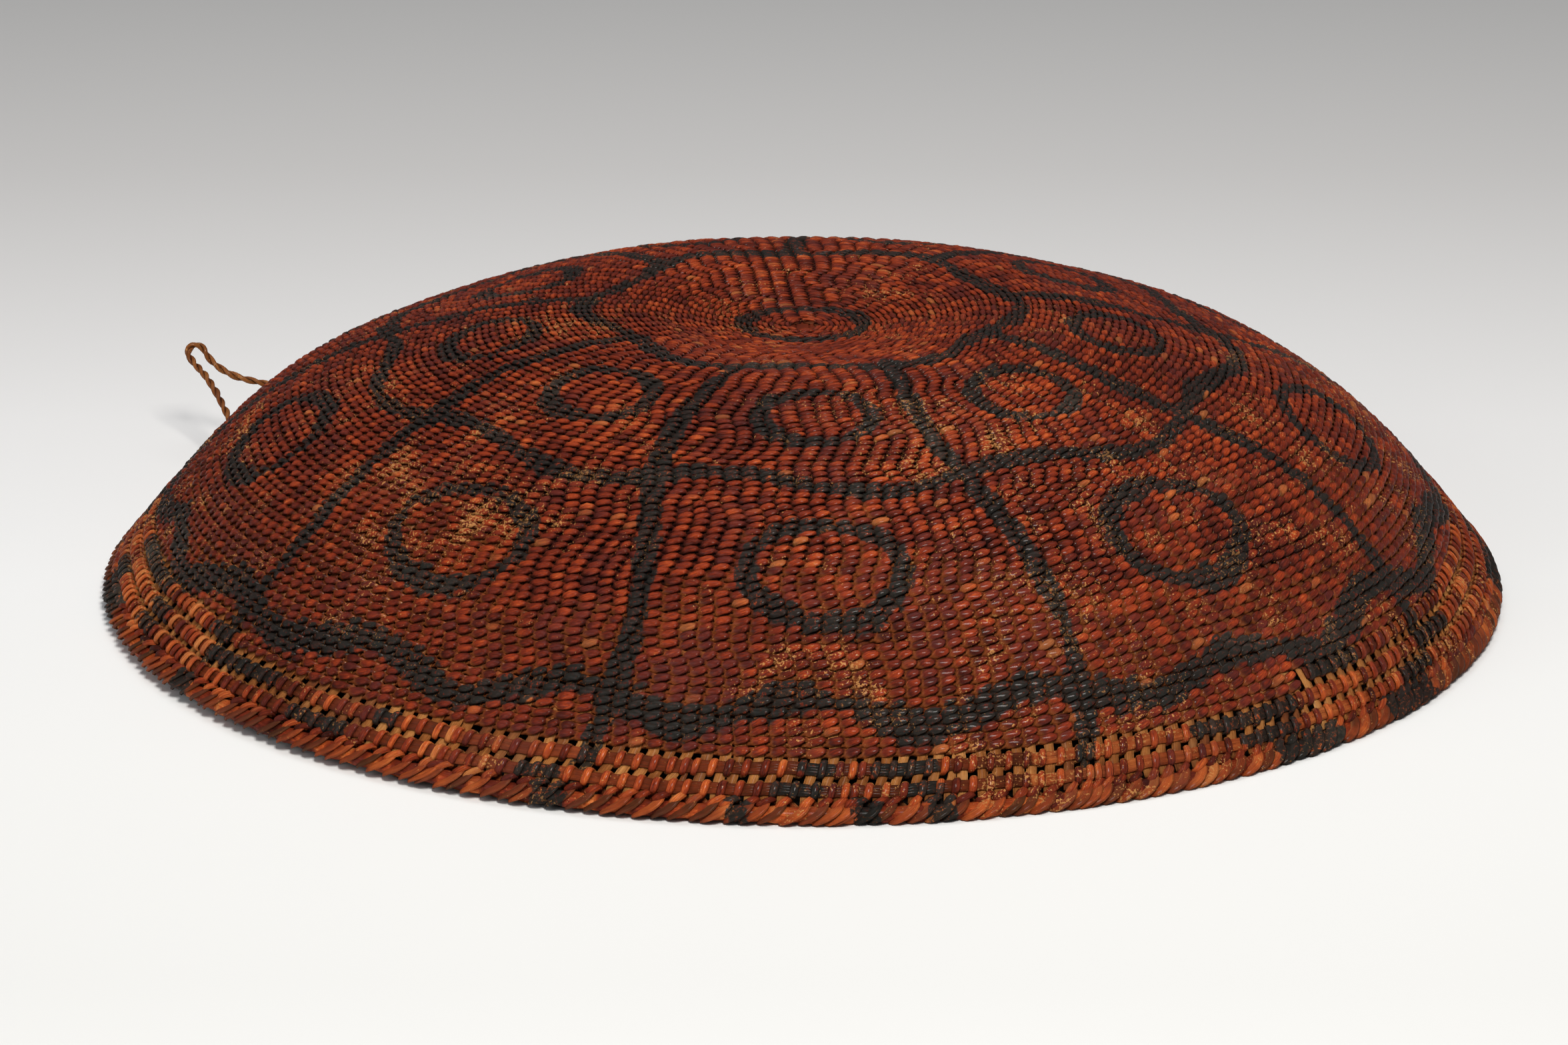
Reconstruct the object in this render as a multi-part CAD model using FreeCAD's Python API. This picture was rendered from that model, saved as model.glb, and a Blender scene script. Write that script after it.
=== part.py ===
# Twined cane hat: a shallow dome of flat warp splints and rounded weft strands,
# with two spaced border rows, a braided edge and a stiff two-ply cord loop.
# Units are millimetres. +Z is up, the origin is on the dome's axis at the level
# of the rim's underside, and -Y is the front. The cord loop is at the left rear.
import FreeCAD, Part
import math
import os

V = FreeCAD.Vector

# ---- driving dimensions -------------------------------------------------
RIM_R = 210.0            # outer radius of the rim
STEP_R = 10.5            # spacing of the profile table below
# height of the outer surface at r = 0, 10.5, 21, ... 210
PROFILE_Z = [80.2, 80.2, 80.6, 82.4, 84.2, 85.3, 85.6, 85.1, 83.6, 81.1, 77.8,
             74.2, 70.5, 66.5, 61.6, 55.4, 47.5, 37.5, 25.8, 13.0, 0.0]

WEFT_T = 1.10            # thickness of a weft strand where it lies on a warp
WARP_T = 0.70            # thickness of a flat warp splint
GAP = 0.04               # clearance between the warps and the strands over them
WARP_W = 3.20            # width of a warp splint
WARPS_FIRST = 34         # warp ends leaving the start at the centre
START_HALF = 14.0        # half-length of the crossed splints at the centre
START_PITCH = 4.0        # spacing of the crossed splints
START_N = 7              # splints each way in the start
BASE_R = 21.0            # radius where the first fan of warps begins
ADD_R = [38.0, 75.0, 148.0]   # radii where further warps are laid in
ADD_N = [34, 68, 136]    # how many are laid in at each of those radii

BRAID_W = 7.6            # width of the edge braid down the slope
ROW_LOW = 11.0           # centre of the lower border row, from the edge
ROW_HIGH = 17.1          # centre of the upper border row, from the edge
ROW_THIRD = 23.2         # centre of the third border row, at the sides and rear
THIRD_FROM = -45.0       # the third row runs from here round the rear ...
THIRD_SWEEP = 260.0      # ... through this angle, and short close rows fill the front
BODY_END = 26.4          # end of the close weave, from the edge
FRONT_END = 20.2         # end of the short front rows, from the edge
BAND_W = 2.6             # width of a border band
BAND_T = 0.75            # thickness of a border band
LASH_W = 3.2             # width of the lashing behind a border band
LASH_T = 0.85

CORD_D = 2.4             # cord over both plies
HEAD_A = 84.0            # head ring, half width outside
HEAD_B = 99.0            # head ring, half length outside
HEAD_WALL = 2.6
HEAD_TOP = 75.4
HEAD_H = 31.0
TIE_N = 6                # lashings that hold the head ring

T = 2 * WEFT_T + WARP_T + 2 * GAP     # whole thickness of the close weave
D_WARP0 = WEFT_T + GAP                # depth of the warps' outer face
D_WARP1 = D_WARP0 + WARP_T
D_IN0 = D_WARP1 + GAP


# ---- the dome's profile -------------------------------------------------
def height(r):
    """Outer surface height at radius r, a smooth curve through the table."""
    i = min(max(int(r / STEP_R), 0), len(PROFILE_Z) - 2)
    t = r / STEP_R - i
    def at(k):
        if k < 0:
            return PROFILE_Z[-k]
        if k > len(PROFILE_Z) - 1:
            return 2 * PROFILE_Z[-1] - PROFILE_Z[-2]
        return PROFILE_Z[k]
    p0, p1, p2, p3 = at(i - 1), at(i), at(i + 1), at(i + 2)
    m1, m2 = (p2 - p0) / 2, (p3 - p1) / 2
    return ((2 * t**3 - 3 * t**2 + 1) * p1 + (t**3 - 2 * t**2 + t) * m1
            + (-2 * t**3 + 3 * t**2) * p2 + (t**3 - t**2) * m2)


N_FINE = 4200
_fine = [(RIM_R * k / N_FINE, height(RIM_R * k / N_FINE)) for k in range(N_FINE + 1)]
_arc = [0.0]
for _a, _b in zip(_fine, _fine[1:]):
    _arc.append(_arc[-1] + math.hypot(_b[0] - _a[0], _b[1] - _a[1]))
ARC = _arc[-1]                       # length of the profile, centre to edge


def arc_of_r(r):
    k = min(max(r / RIM_R * N_FINE, 0.0), N_FINE - 1e-9)
    i = int(k)
    return _arc[i] + (_arc[i + 1] - _arc[i]) * (k - i)


def r_of_arc(s):
    lo, hi = 0.0, RIM_R
    for _ in range(60):
        m = (lo + hi) / 2
        if arc_of_r(m) < s:
            lo = m
        else:
            hi = m
    return (lo + hi) / 2


def normal(r):
    """Unit normal that points out of the dome, as (radial, up)."""
    e = 0.5
    a, b = max(r - e, 0.0), min(r + e, RIM_R)
    dr, dz = b - a, height(b) - height(a)
    n = math.hypot(dr, dz)
    return (-dz / n, dr / n)


# every layer bends at these places, so that the layers stay parallel
S_BODY = ARC - BODY_END
S_FRONT = ARC - FRONT_END
S_BRAID = ARC - BRAID_W
ZONES_R = [0.0, 20.0, 60.0, 112.0, 160.0]      # where one length of weft ends
KNOT_R = [0.0, 10.0, 20.0, 30.0, 40.0, 50.0, 60.0, 72.0, 85.0, 98.0, 112.0,
          124.0, 136.0, 148.0, 160.0, 170.0, 180.0, 189.0]
KNOTS = [arc_of_r(r) for r in KNOT_R] + [S_BODY, S_FRONT, S_BRAID]


def knot(i, depth):
    r = r_of_arc(KNOTS[i])
    z = height(r)
    n = normal(r) if i else (0.0, 1.0)
    return (max(r - n[0] * depth, 0.0), z - n[1] * depth)


def layer_at(s, depth):
    """Point of the layer at this depth, on the straight between two knots."""
    for i in range(len(KNOTS) - 1):
        if s <= KNOTS[i + 1] + 1e-9:
            t = (s - KNOTS[i]) / (KNOTS[i + 1] - KNOTS[i])
            a, b = knot(i, depth), knot(i + 1, depth)
            return (a[0] + (b[0] - a[0]) * t, a[1] + (b[1] - a[1]) * t)
    raise ValueError("past the last knot")


def run_of(s0, s1, depth):
    """Points of a layer from s0 to s1, with the knots between."""
    pts = [layer_at(s0, depth)]
    for i, s in enumerate(KNOTS):
        if s0 + 1e-6 < s < s1 - 1e-6:
            pts.append(knot(i, depth))
    pts.append(layer_at(s1, depth))
    return pts


def clean(pts):
    out = []
    for p in pts:
        if not out or math.hypot(p[0] - out[-1][0], p[1] - out[-1][1]) > 1e-6:
            out.append(p)
    if math.hypot(out[0][0] - out[-1][0], out[0][1] - out[-1][1]) < 1e-6:
        out.pop()
    return out


def ring(pts, start=0.0, sweep=360.0):
    """Solid of revolution about Z of a closed (r, z) outline, or an arc of it."""
    pts = clean(pts)
    vs = [V(r, 0, z) for r, z in pts]
    face = Part.Face(Part.makePolygon(vs + [vs[0]]))
    if start:
        face.rotate(V(0, 0, 0), V(0, 0, 1), start)
    s = face.revolve(V(0, 0, 0), V(0, 0, 1), sweep)
    return s if s.ShapeType == "Solid" else s.Solids[0]


def shell_ring(s0, s1, d0, d1, start=0.0, sweep=360.0):
    return ring(run_of(s0, s1, d0) + run_of(s0, s1, d1)[::-1], start, sweep)


def strip(s0, s1, d0, d1, width, angle):
    """A flat splint that follows the profile, turned to its place."""
    pts = clean(run_of(s0, s1, d0) + run_of(s0, s1, d1)[::-1])
    vs = [V(r, -width / 2, z) for r, z in pts]
    f = Part.Face(Part.makePolygon(vs + [vs[0]]))
    s = f.extrude(V(0, width, 0))
    s.rotate(V(0, 0, 0), V(0, 0, 1), angle)
    return s


def box(lo, hi):
    return Part.makeBox(hi[0] - lo[0], hi[1] - lo[1], hi[2] - lo[2], V(*lo))


def group(solids):
    return solids[0] if len(solids) == 1 else Part.makeCompound(solids)


parts = {}

# ---- start at the centre: two layers of short crossed splints -----------
z_top = min(layer_at(arc_of_r(0.0), D_WARP0)[1], layer_at(arc_of_r(10.0), D_WARP0)[1])
half_t = WARP_T / 2 - 0.02
lengthwise, crosswise = [], []
for k in range(START_N):
    c = (k - (START_N - 1) / 2) * START_PITCH
    w = 3.4
    lengthwise.append(box((c - w / 2, -START_HALF, z_top - half_t), (c + w / 2, START_HALF, z_top)))
    crosswise.append(box((-START_HALF, c - w / 2, z_top - WARP_T), (START_HALF, c + w / 2, z_top - WARP_T + half_t)))
parts["start_splints_lengthwise"] = group(lengthwise)
parts["start_splints_crosswise"] = group(crosswise)

# ---- warps --------------------------------------------------------------
total = WARPS_FIRST + sum(ADD_N)
pitch = 360.0 / total
S_WARP_END = S_BRAID - 0.05
base, added = [], [[], [], []]
for k in range(total):
    a = k * pitch
    if k % 8 == 0:
        base.append(strip(arc_of_r(BASE_R), S_WARP_END, D_WARP0, D_WARP1, WARP_W, a))
    elif k % 8 == 4:
        added[0].append(strip(arc_of_r(ADD_R[0]), S_WARP_END, D_WARP0, D_WARP1, WARP_W, a))
    elif k % 4 == 2:
        added[1].append(strip(arc_of_r(ADD_R[1]), S_WARP_END, D_WARP0, D_WARP1, WARP_W, a))
    else:
        added[2].append(strip(arc_of_r(ADD_R[2]), S_WARP_END, D_WARP0, D_WARP1, WARP_W, a))
assert len(base) == WARPS_FIRST and [len(x) for x in added] == ADD_N
parts["warps_first"] = group(base)
parts["warps_added_crown"] = group(added[0])
parts["warps_added_shoulder"] = group(added[1])
parts["warps_added_side"] = group(added[2])

# ---- close weave: in each zone one strand lies outside the warps and its
# partner inside, so each zone is an outer and an inner layer --------------
names = ["weft_start", "weft_crown", "weft_shoulder", "weft_upper_side", "weft_lower_side"]
stops = [arc_of_r(r) for r in ZONES_R] + [S_BODY]
START_DROP = 0.0
for name, s0, s1 in zip(names, stops, stops[1:]):
    s1 = s1 - (0.0 if s1 == S_BODY else 0.02)
    outer = shell_ring(s0, s1, 0.0, WEFT_T)
    if name == "weft_start":
        # the crossed splints are flat, so the inner layer here is flat on top
        r1 = layer_at(s1, D_IN0)[0]
        zt = z_top - WARP_T - GAP
        zi = [p for p in run_of(s0, s1, T)]
        inner = ring([(0.0, zt), (r1, zt)] + zi[::-1])
    else:
        inner = shell_ring(s0, s1, D_IN0, T)
    parts[name] = Part.makeCompound([outer, inner])

# ---- short close rows that fill the front, where there is no third row ---
f_start, f_sweep = THIRD_FROM + THIRD_SWEEP + 0.3, 360.0 - THIRD_SWEEP - 0.6
parts["weft_front_rows"] = Part.makeCompound([
    shell_ring(S_BODY + 0.02, S_FRONT, 0.0, WEFT_T, f_start, f_sweep),
    shell_ring(S_BODY + 0.02, S_FRONT, D_IN0, T, f_start, f_sweep)])

# ---- border rows: a stiff band outside the warps, lashed from behind -----
for name, back, start, sweep in (("third", ROW_THIRD, THIRD_FROM, THIRD_SWEEP),
                                 ("upper", ROW_HIGH, 0.0, 360.0), ("lower", ROW_LOW, 0.0, 360.0)):
    s = ARC - back
    d1 = D_WARP0 - GAP
    parts["border_band_" + name] = shell_ring(s - BAND_W / 2, s + BAND_W / 2, d1 - BAND_T, d1, start, sweep)
    parts["border_lashing_" + name] = shell_ring(s - LASH_W / 2, s + LASH_W / 2, D_IN0, D_IN0 + LASH_T, start, sweep)

# ---- edge braid: the warp ends, folded and plaited along the rim --------
n_e = normal(RIM_R)
p_top = knot(len(KNOTS) - 1, -0.35)
p_top_in = knot(len(KNOTS) - 1, T + 0.25)
inner_dir = (RIM_R - p_top[0], 0.0 - p_top[1])
k_in = p_top_in[1] / inner_dir[1]
p_bot_in = (p_top_in[0] - inner_dir[0] * k_in, 0.0)
edge_mid = ((RIM_R + p_top[0]) / 2 + n_e[0] * 0.0, p_top[1] / 2)
parts["edge_braid"] = ring([p_top, (RIM_R, 0.9), (RIM_R, 0.0), p_bot_in, p_top_in])

# ---- head ring: an oval hoop inside the crown, and its lashings ----------
def oval(a, b, z):
    # a is the half width along X, b the half length along Y
    e = Part.Ellipse(V(0, 0, z), b, a)
    w = Part.Wire([e.toShape()])
    w.rotate(V(0, 0, z), V(0, 0, 1), 90)
    return w


out_f = Part.Face(oval(HEAD_A, HEAD_B, HEAD_TOP - HEAD_H))
in_f = Part.Face(oval(HEAD_A - HEAD_WALL, HEAD_B - HEAD_WALL, HEAD_TOP - HEAD_H))
parts["head_ring"] = out_f.extrude(V(0, 0, HEAD_H)).cut(in_f.extrude(V(0, 0, HEAD_H))).Solids[0]

ties = []
for k in range(TIE_N):
    a = math.radians(30 + 60 * k)
    ca, sa = math.cos(a), math.sin(a)
    def oval_r(A, B):
        return 1.0 / math.sqrt((ca / A) ** 2 + (sa / B) ** 2)
    r_in = oval_r(HEAD_A - HEAD_WALL, HEAD_B - HEAD_WALL) + 0.3
    r_out = oval_r(HEAD_A, HEAD_B) - 0.3
    zs = [height(r) - T / normal(r)[1] - 0.12 for r in (r_in, r_out)]
    out = [(r_in, HEAD_TOP + 0.02), (r_out, HEAD_TOP + 0.02), (r_out, zs[1]), (r_in, zs[0])]
    vs = [V(r, -2.2, z) for r, z in out]
    t = Part.Face(Part.makePolygon(vs + [vs[0]])).extrude(V(0, 4.4, 0))
    t.rotate(V(0, 0, 0), V(0, 0, 1), math.degrees(a))
    ties.append(t)
parts["head_ring_ties"] = group(ties)

# ---- cord loop: its tube follows straight runs joined by tangent arcs ----
# It stands out from the border between its two ties, and folds tightly at the tip.
# The hinge line of the loop runs through the route's first and last points.
CORD_ROUTE = [
    (-178.07, 98.71, 13.65),
    (-181.74, 107.40, 18.08),
    (-186.16, 117.40, 22.86),
    (-190.39, 125.68, 26.08),
    (-194.24, 131.18, 28.10),
    (-196.87, 134.60, 30.33),
    (-195.61, 136.80, 32.79),
    (-192.16, 137.60, 32.22),
    (-190.45, 136.40, 28.68),
    (-186.83, 134.67, 25.72),
    (-181.05, 133.20, 22.85),
    (-173.17, 133.75, 21.07),
    (-161.88, 134.27, 17.04),
    (-151.30, 136.24, 13.65),
]


def cord_tube(route, d):
    pts = [V(*p) for p in route]
    n = len(pts)
    edges, radii, length = [], [], 0.0
    start = pts[0]
    for i in range(1, n - 1):
        a, b, c = pts[i - 1], pts[i], pts[i + 1]
        u, w = (b - a), (c - b)
        lu, lw = u.Length, w.Length
        u.normalize(); w.normalize()
        turn = math.acos(max(-1.0, min(1.0, u.dot(w))))
        cut = 0.45 * min(lu, lw)
        radii.append(cut / math.tan(turn / 2))
        p, q = b - u * cut, b + w * cut
        mid_dir = (w - u)
        mid_dir.normalize()
        rad = radii[-1]
        centre = b + mid_dir * (rad / math.cos(turn / 2))
        m = centre - mid_dir * rad
        edges.append(Part.LineSegment(start, p).toShape())
        edges.append(Part.Arc(p, m, q).toShape())
        length += (p - start).Length + rad * turn
        start = q
    edges.append(Part.LineSegment(start, pts[-1]).toShape())
    length += (pts[-1] - start).Length
    path = Part.Wire(edges)
    d0 = pts[1] - pts[0]
    circle = Part.Wire([Part.Circle(pts[0], d0, d / 2).toShape()])
    tube = path.makePipeShell([circle], True, False)
    s = tube if tube.ShapeType == "Solid" else tube.Solids[0]
    print("cord length %.1f, volume / (section x length) %.4f" % (length, s.Volume / (math.pi * d * d / 4 * length)))
    print("cord arc radii", " ".join("%.1f" % r for r in radii))
    return s


parts["cord_loop"] = cord_tube(CORD_ROUTE, CORD_D)


# ---- ties that hold the cord's two ends to the border --------------------
def tie_block(end):
    """A small closed lashing on the border, just inboard of a cord end."""
    ang = math.atan2(end[1], end[0])
    s_mid = ARC - (ROW_HIGH + ROW_LOW) / 2
    r = r_of_arc(s_mid)
    n = normal(r)
    L, Wd, H = 10.4, 4.6, 2.0
    b = box((-L / 2, -Wd / 2, 0.0), (L / 2, Wd / 2, H))
    b = b.makeFillet(0.7, [e for e in b.Edges if abs(e.BoundBox.ZLength - H) < 1e-6])
    # local x runs down the slope, local z is the outward normal
    slope = math.degrees(math.atan2(n[0], n[1]))
    b.rotate(V(0, 0, 0), V(0, 1, 0), slope)
    off = 0.12
    b.translate(V(r + n[0] * off, 0, height(r) + n[1] * off))
    b.rotate(V(0, 0, 0), V(0, 0, 1), math.degrees(ang))
    return b


parts["cord_tie_left"] = tie_block(CORD_ROUTE[0])
parts["cord_tie_rear"] = tie_block(CORD_ROUTE[-1])

# ---- write ---------------------------------------------------------------
os.makedirs("parts", exist_ok=True)
for name, shape in parts.items():
    bad = [s for s in shape.Solids if not s.isValid() or s.Volume <= 0]
    bb = shape.BoundBox
    print("%-28s solids %3d  vol %9.1f  z %.2f..%.2f  r %.1f%s" % (
        name, len(shape.Solids), shape.Volume, bb.ZMin, bb.ZMax,
        max(abs(bb.XMin), abs(bb.XMax)), "  INVALID" if bad else ""))
    shape.exportStep("parts/%s.step" % name)
print("profile length %.1f, warps at the rim %d, pitch %.2f" % (ARC, total, 2 * math.pi * RIM_R / total))
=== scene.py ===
# Twined cane hat: the weave, border, edge, cord and head ring as real strands,
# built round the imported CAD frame. All working lengths below are millimetres.
import bpy
import math
import numpy as np
from mathutils import Matrix, Vector


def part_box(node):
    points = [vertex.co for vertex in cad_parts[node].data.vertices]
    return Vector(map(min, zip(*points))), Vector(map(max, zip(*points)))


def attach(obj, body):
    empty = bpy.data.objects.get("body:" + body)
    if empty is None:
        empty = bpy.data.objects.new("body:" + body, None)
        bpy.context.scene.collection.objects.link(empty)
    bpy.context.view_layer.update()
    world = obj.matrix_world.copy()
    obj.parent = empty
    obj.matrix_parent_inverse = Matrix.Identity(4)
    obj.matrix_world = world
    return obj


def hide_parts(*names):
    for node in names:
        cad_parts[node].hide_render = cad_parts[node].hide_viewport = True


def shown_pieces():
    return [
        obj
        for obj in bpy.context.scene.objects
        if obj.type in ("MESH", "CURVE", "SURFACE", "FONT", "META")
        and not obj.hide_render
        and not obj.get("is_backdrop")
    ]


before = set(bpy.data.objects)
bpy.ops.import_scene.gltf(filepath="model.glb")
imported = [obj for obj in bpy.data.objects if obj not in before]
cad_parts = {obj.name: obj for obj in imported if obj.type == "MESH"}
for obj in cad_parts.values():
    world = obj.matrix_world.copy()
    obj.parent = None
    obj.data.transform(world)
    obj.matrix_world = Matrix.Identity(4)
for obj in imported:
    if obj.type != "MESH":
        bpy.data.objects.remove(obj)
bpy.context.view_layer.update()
MM = 0.001
TAU = 2 * math.pi

# ------------------------------------------------------------------ profile
RIM_R = 210.0
STEP_R = 10.5
PROFILE_Z = [80.2, 80.2, 80.6, 82.4, 84.2, 85.3, 85.6, 85.1, 83.6, 81.1, 77.8,
             74.2, 70.5, 66.5, 61.6, 55.4, 47.5, 37.5, 25.8, 13.0, 0.0]


def table_height(r):
    pz = np.array(PROFILE_Z)
    k = np.clip((r / STEP_R).astype(int), 0, len(pz) - 2)
    t = r / STEP_R - k
    ext = np.concatenate([[pz[1]], pz, [2 * pz[-1] - pz[-2]]])
    p0, p1, p2, p3 = ext[k], ext[k + 1], ext[k + 2], ext[k + 3]
    m1, m2 = (p2 - p0) / 2, (p3 - p1) / 2
    return ((2 * t**3 - 3 * t**2 + 1) * p1 + (t**3 - 2 * t**2 + t) * m1
            + (-2 * t**3 + 3 * t**2) * p2 + (t**3 - t**2) * m2)


R_F = np.linspace(0, RIM_R, 2101)
Z_F = table_height(R_F)
S_F = np.concatenate([[0], np.cumsum(np.hypot(np.diff(R_F), np.diff(Z_F)))])
ARC = S_F[-1]
_dr, _dz = np.gradient(R_F), np.gradient(Z_F)
_k = np.ones(41) / 41
_dz = np.convolve(np.pad(_dz, 20, mode="edge"), _k, "valid")
_nn = np.hypot(_dr, _dz)
NR_F, NZ_F = -_dz / _nn, _dr / _nn
NR_F[0], NZ_F[0] = 0.0, 1.0


def r_of(s):
    # past the rim the profile goes straight on
    return np.interp(s, S_F, R_F) + np.maximum(np.asarray(s) - ARC, 0) * (-NZ_F[-1] * -1.0)


def place(theta, s, off, ds=0.0):
    """World points in mm for angle theta, arc length s (+ds) and height off above the outer surface."""
    theta, s, off = np.broadcast_arrays(np.asarray(theta, float), np.asarray(s, float) + ds, np.asarray(off, float))
    over = np.maximum(s - ARC, 0)
    sc = np.clip(s, 0, ARC)
    r = np.interp(sc, S_F, R_F)
    z = np.interp(sc, S_F, Z_F)
    nr, nz = np.interp(sc, S_F, NR_F), np.interp(sc, S_F, NZ_F)
    r = r + over * nz
    z = z - over * nr
    c, q = np.cos(theta), np.sin(theta)
    x0, y0 = r * c, r * q
    # slow unevenness of a hand-made dome, and a rim that is not quite level
    u = (np.sin(x0 / 31.0 + 1.1) * np.sin(y0 / 27.0 + 0.4) * 0.55
         + np.sin((x0 + 0.6 * y0) / 17.0 + 2.0) * 0.22 + np.sin((y0 - 0.5 * x0) / 14.0) * 0.18)
    fade = np.clip((RIM_R - r) / 25.0, 0.15, 1.0)
    off = off + u * fade
    z = z + 1.2 * (r / RIM_R) ** 2 * (1 + np.cos(2 * (theta - 0.476)))
    return np.stack([(r + off * nr) * c, (r + off * nr) * q, z + off * nz], -1)


def axes_at(theta, s):
    """Unit vectors round the hat, down the slope and out of it."""
    theta, s = np.broadcast_arrays(np.asarray(theta, float), np.asarray(s, float))
    sc = np.clip(s, 0, ARC)
    nr, nz = np.interp(sc, S_F, NR_F), np.interp(sc, S_F, NZ_F)
    c, q = np.cos(theta), np.sin(theta)
    z0 = np.zeros_like(c)
    t = np.stack([-q, c, z0], -1)
    n = np.stack([nr * c, nr * q, nz], -1)
    d = np.stack([nz * c, nz * q, -nr], -1)
    return t, d, n


# ------------------------------------------------------------------ painted lines
# A plain regular scheme: three wavy rings, spokes between them, and an oval in each field.
# Each line is a run of plan points (mm from the axis) with its half width.
FIELDS = 9
LINES = []
for ring, wave, lobes in ((62.0, 3.5, 6), (126.0, 4.5, 9), (189.0, 3.0, 18)):
    LINES.append([((ring + wave * math.cos(lobes * q)) * math.cos(q), (ring + wave * math.cos(lobes * q)) * math.sin(q), 3.3)
                  for q in np.linspace(0, 2 * math.pi, 73)])
for k in range(FIELDS):
    q = 2 * math.pi * (k + 0.3) / FIELDS
    LINES.append([(r * math.cos(q + 0.04 * math.sin(r / 22.0)), r * math.sin(q + 0.04 * math.sin(r / 22.0)), 3.4)
                  for r in np.linspace(62.0, 203.0, 12)])
# centre x, y, half width outwards, half width across, turn in degrees, half line width
OVALS = [(0.0, 0.0, 18.0, 15.0, 0.0, 2.7)]
for ring, deep, wide in ((94.0, 13.0, 16.0), (157.0, 14.0, 22.0)):
    for k in range(FIELDS):
        q = 2 * math.pi * (k + 0.8) / FIELDS
        OVALS.append((ring * math.cos(q), ring * math.sin(q), deep, wide, math.degrees(q), 2.7))
SIDE = 216


def seg_dist(px, py, ax, ay, bx, by):
    vx, vy = bx - ax, by - ay
    t = np.clip(((px - ax) * vx + (py - ay) * vy) / (vx * vx + vy * vy + 1e-9), 0, 1)
    return np.hypot(px - ax - t * vx, py - ay - t * vy), t


def smooth_run(pts, n=6):
    """Catmull-Rom through the points, which may carry widths as a third value."""
    p = np.array(pts, float)
    e = np.vstack([2 * p[0] - p[1], p, 2 * p[-1] - p[-2]])
    out = []
    for i in range(1, len(e) - 2):
        for k in range(n):
            t = k / n
            a, b, c, d = e[i - 1], e[i], e[i + 1], e[i + 2]
            out.append(0.5 * (2 * b + (c - a) * t + (2 * a - 5 * b + 4 * c - d) * t * t + (3 * b - a - 3 * c + d) * t**3))
    out.append(p[-1])
    return np.array(out)


def paint_grid():
    """Signed distance (mm) to the painted lines over the plan, negative inside a line."""
    g = np.arange(-SIDE, SIDE + 1, 1.0)
    X, Y = np.meshgrid(g, g)
    wob = 0.55 * np.sin(X / 5.1 + 0.7 * np.sin(Y / 7.3)) + 0.45 * np.sin(Y / 4.3 + 1.3) * np.sin(X / 9.0)
    D = np.full(X.shape, 30.0)
    for pts in LINES:
        q = smooth_run(pts)
        lo, hi = q[:, :2].min(0) - 12, q[:, :2].max(0) + 12
        m = (X >= lo[0]) & (X <= hi[0]) & (Y >= lo[1]) & (Y <= hi[1])
        px, py = X[m], Y[m]
        best = D[m]
        for a, b in zip(q, q[1:]):
            d, t = seg_dist(px, py, a[0], a[1], b[0], b[1])
            best = np.minimum(best, d - 0.92 * (a[2] + (b[2] - a[2]) * t))
        D[m] = best
    for cx, cy, a, b, ang, w in OVALS:
        c, s = math.cos(math.radians(ang)), math.sin(math.radians(ang))
        u, v = (X - cx) * c + (Y - cy) * s, -(X - cx) * s + (Y - cy) * c
        k = np.sqrt((u / a) ** 2 + (v / b) ** 2) + 1e-6
        gnorm = np.sqrt((u / a**2) ** 2 + (v / b**2) ** 2) / k + 1e-6
        D = np.minimum(D, np.abs((k - 1) / gnorm) - 0.98 * w)
    return D + wob * 1.0


PAINT = paint_grid()


def paint_at(x, y):
    fx, fy = np.clip(x + SIDE, 0, 2 * SIDE - 1.001), np.clip(y + SIDE, 0, 2 * SIDE - 1.001)
    ix, iy = fx.astype(int), fy.astype(int)
    tx, ty = fx - ix, fy - iy
    return ((PAINT[iy, ix] * (1 - tx) + PAINT[iy, ix + 1] * tx) * (1 - ty)
            + (PAINT[iy + 1, ix] * (1 - tx) + PAINT[iy + 1, ix + 1] * tx) * ty)


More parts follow.
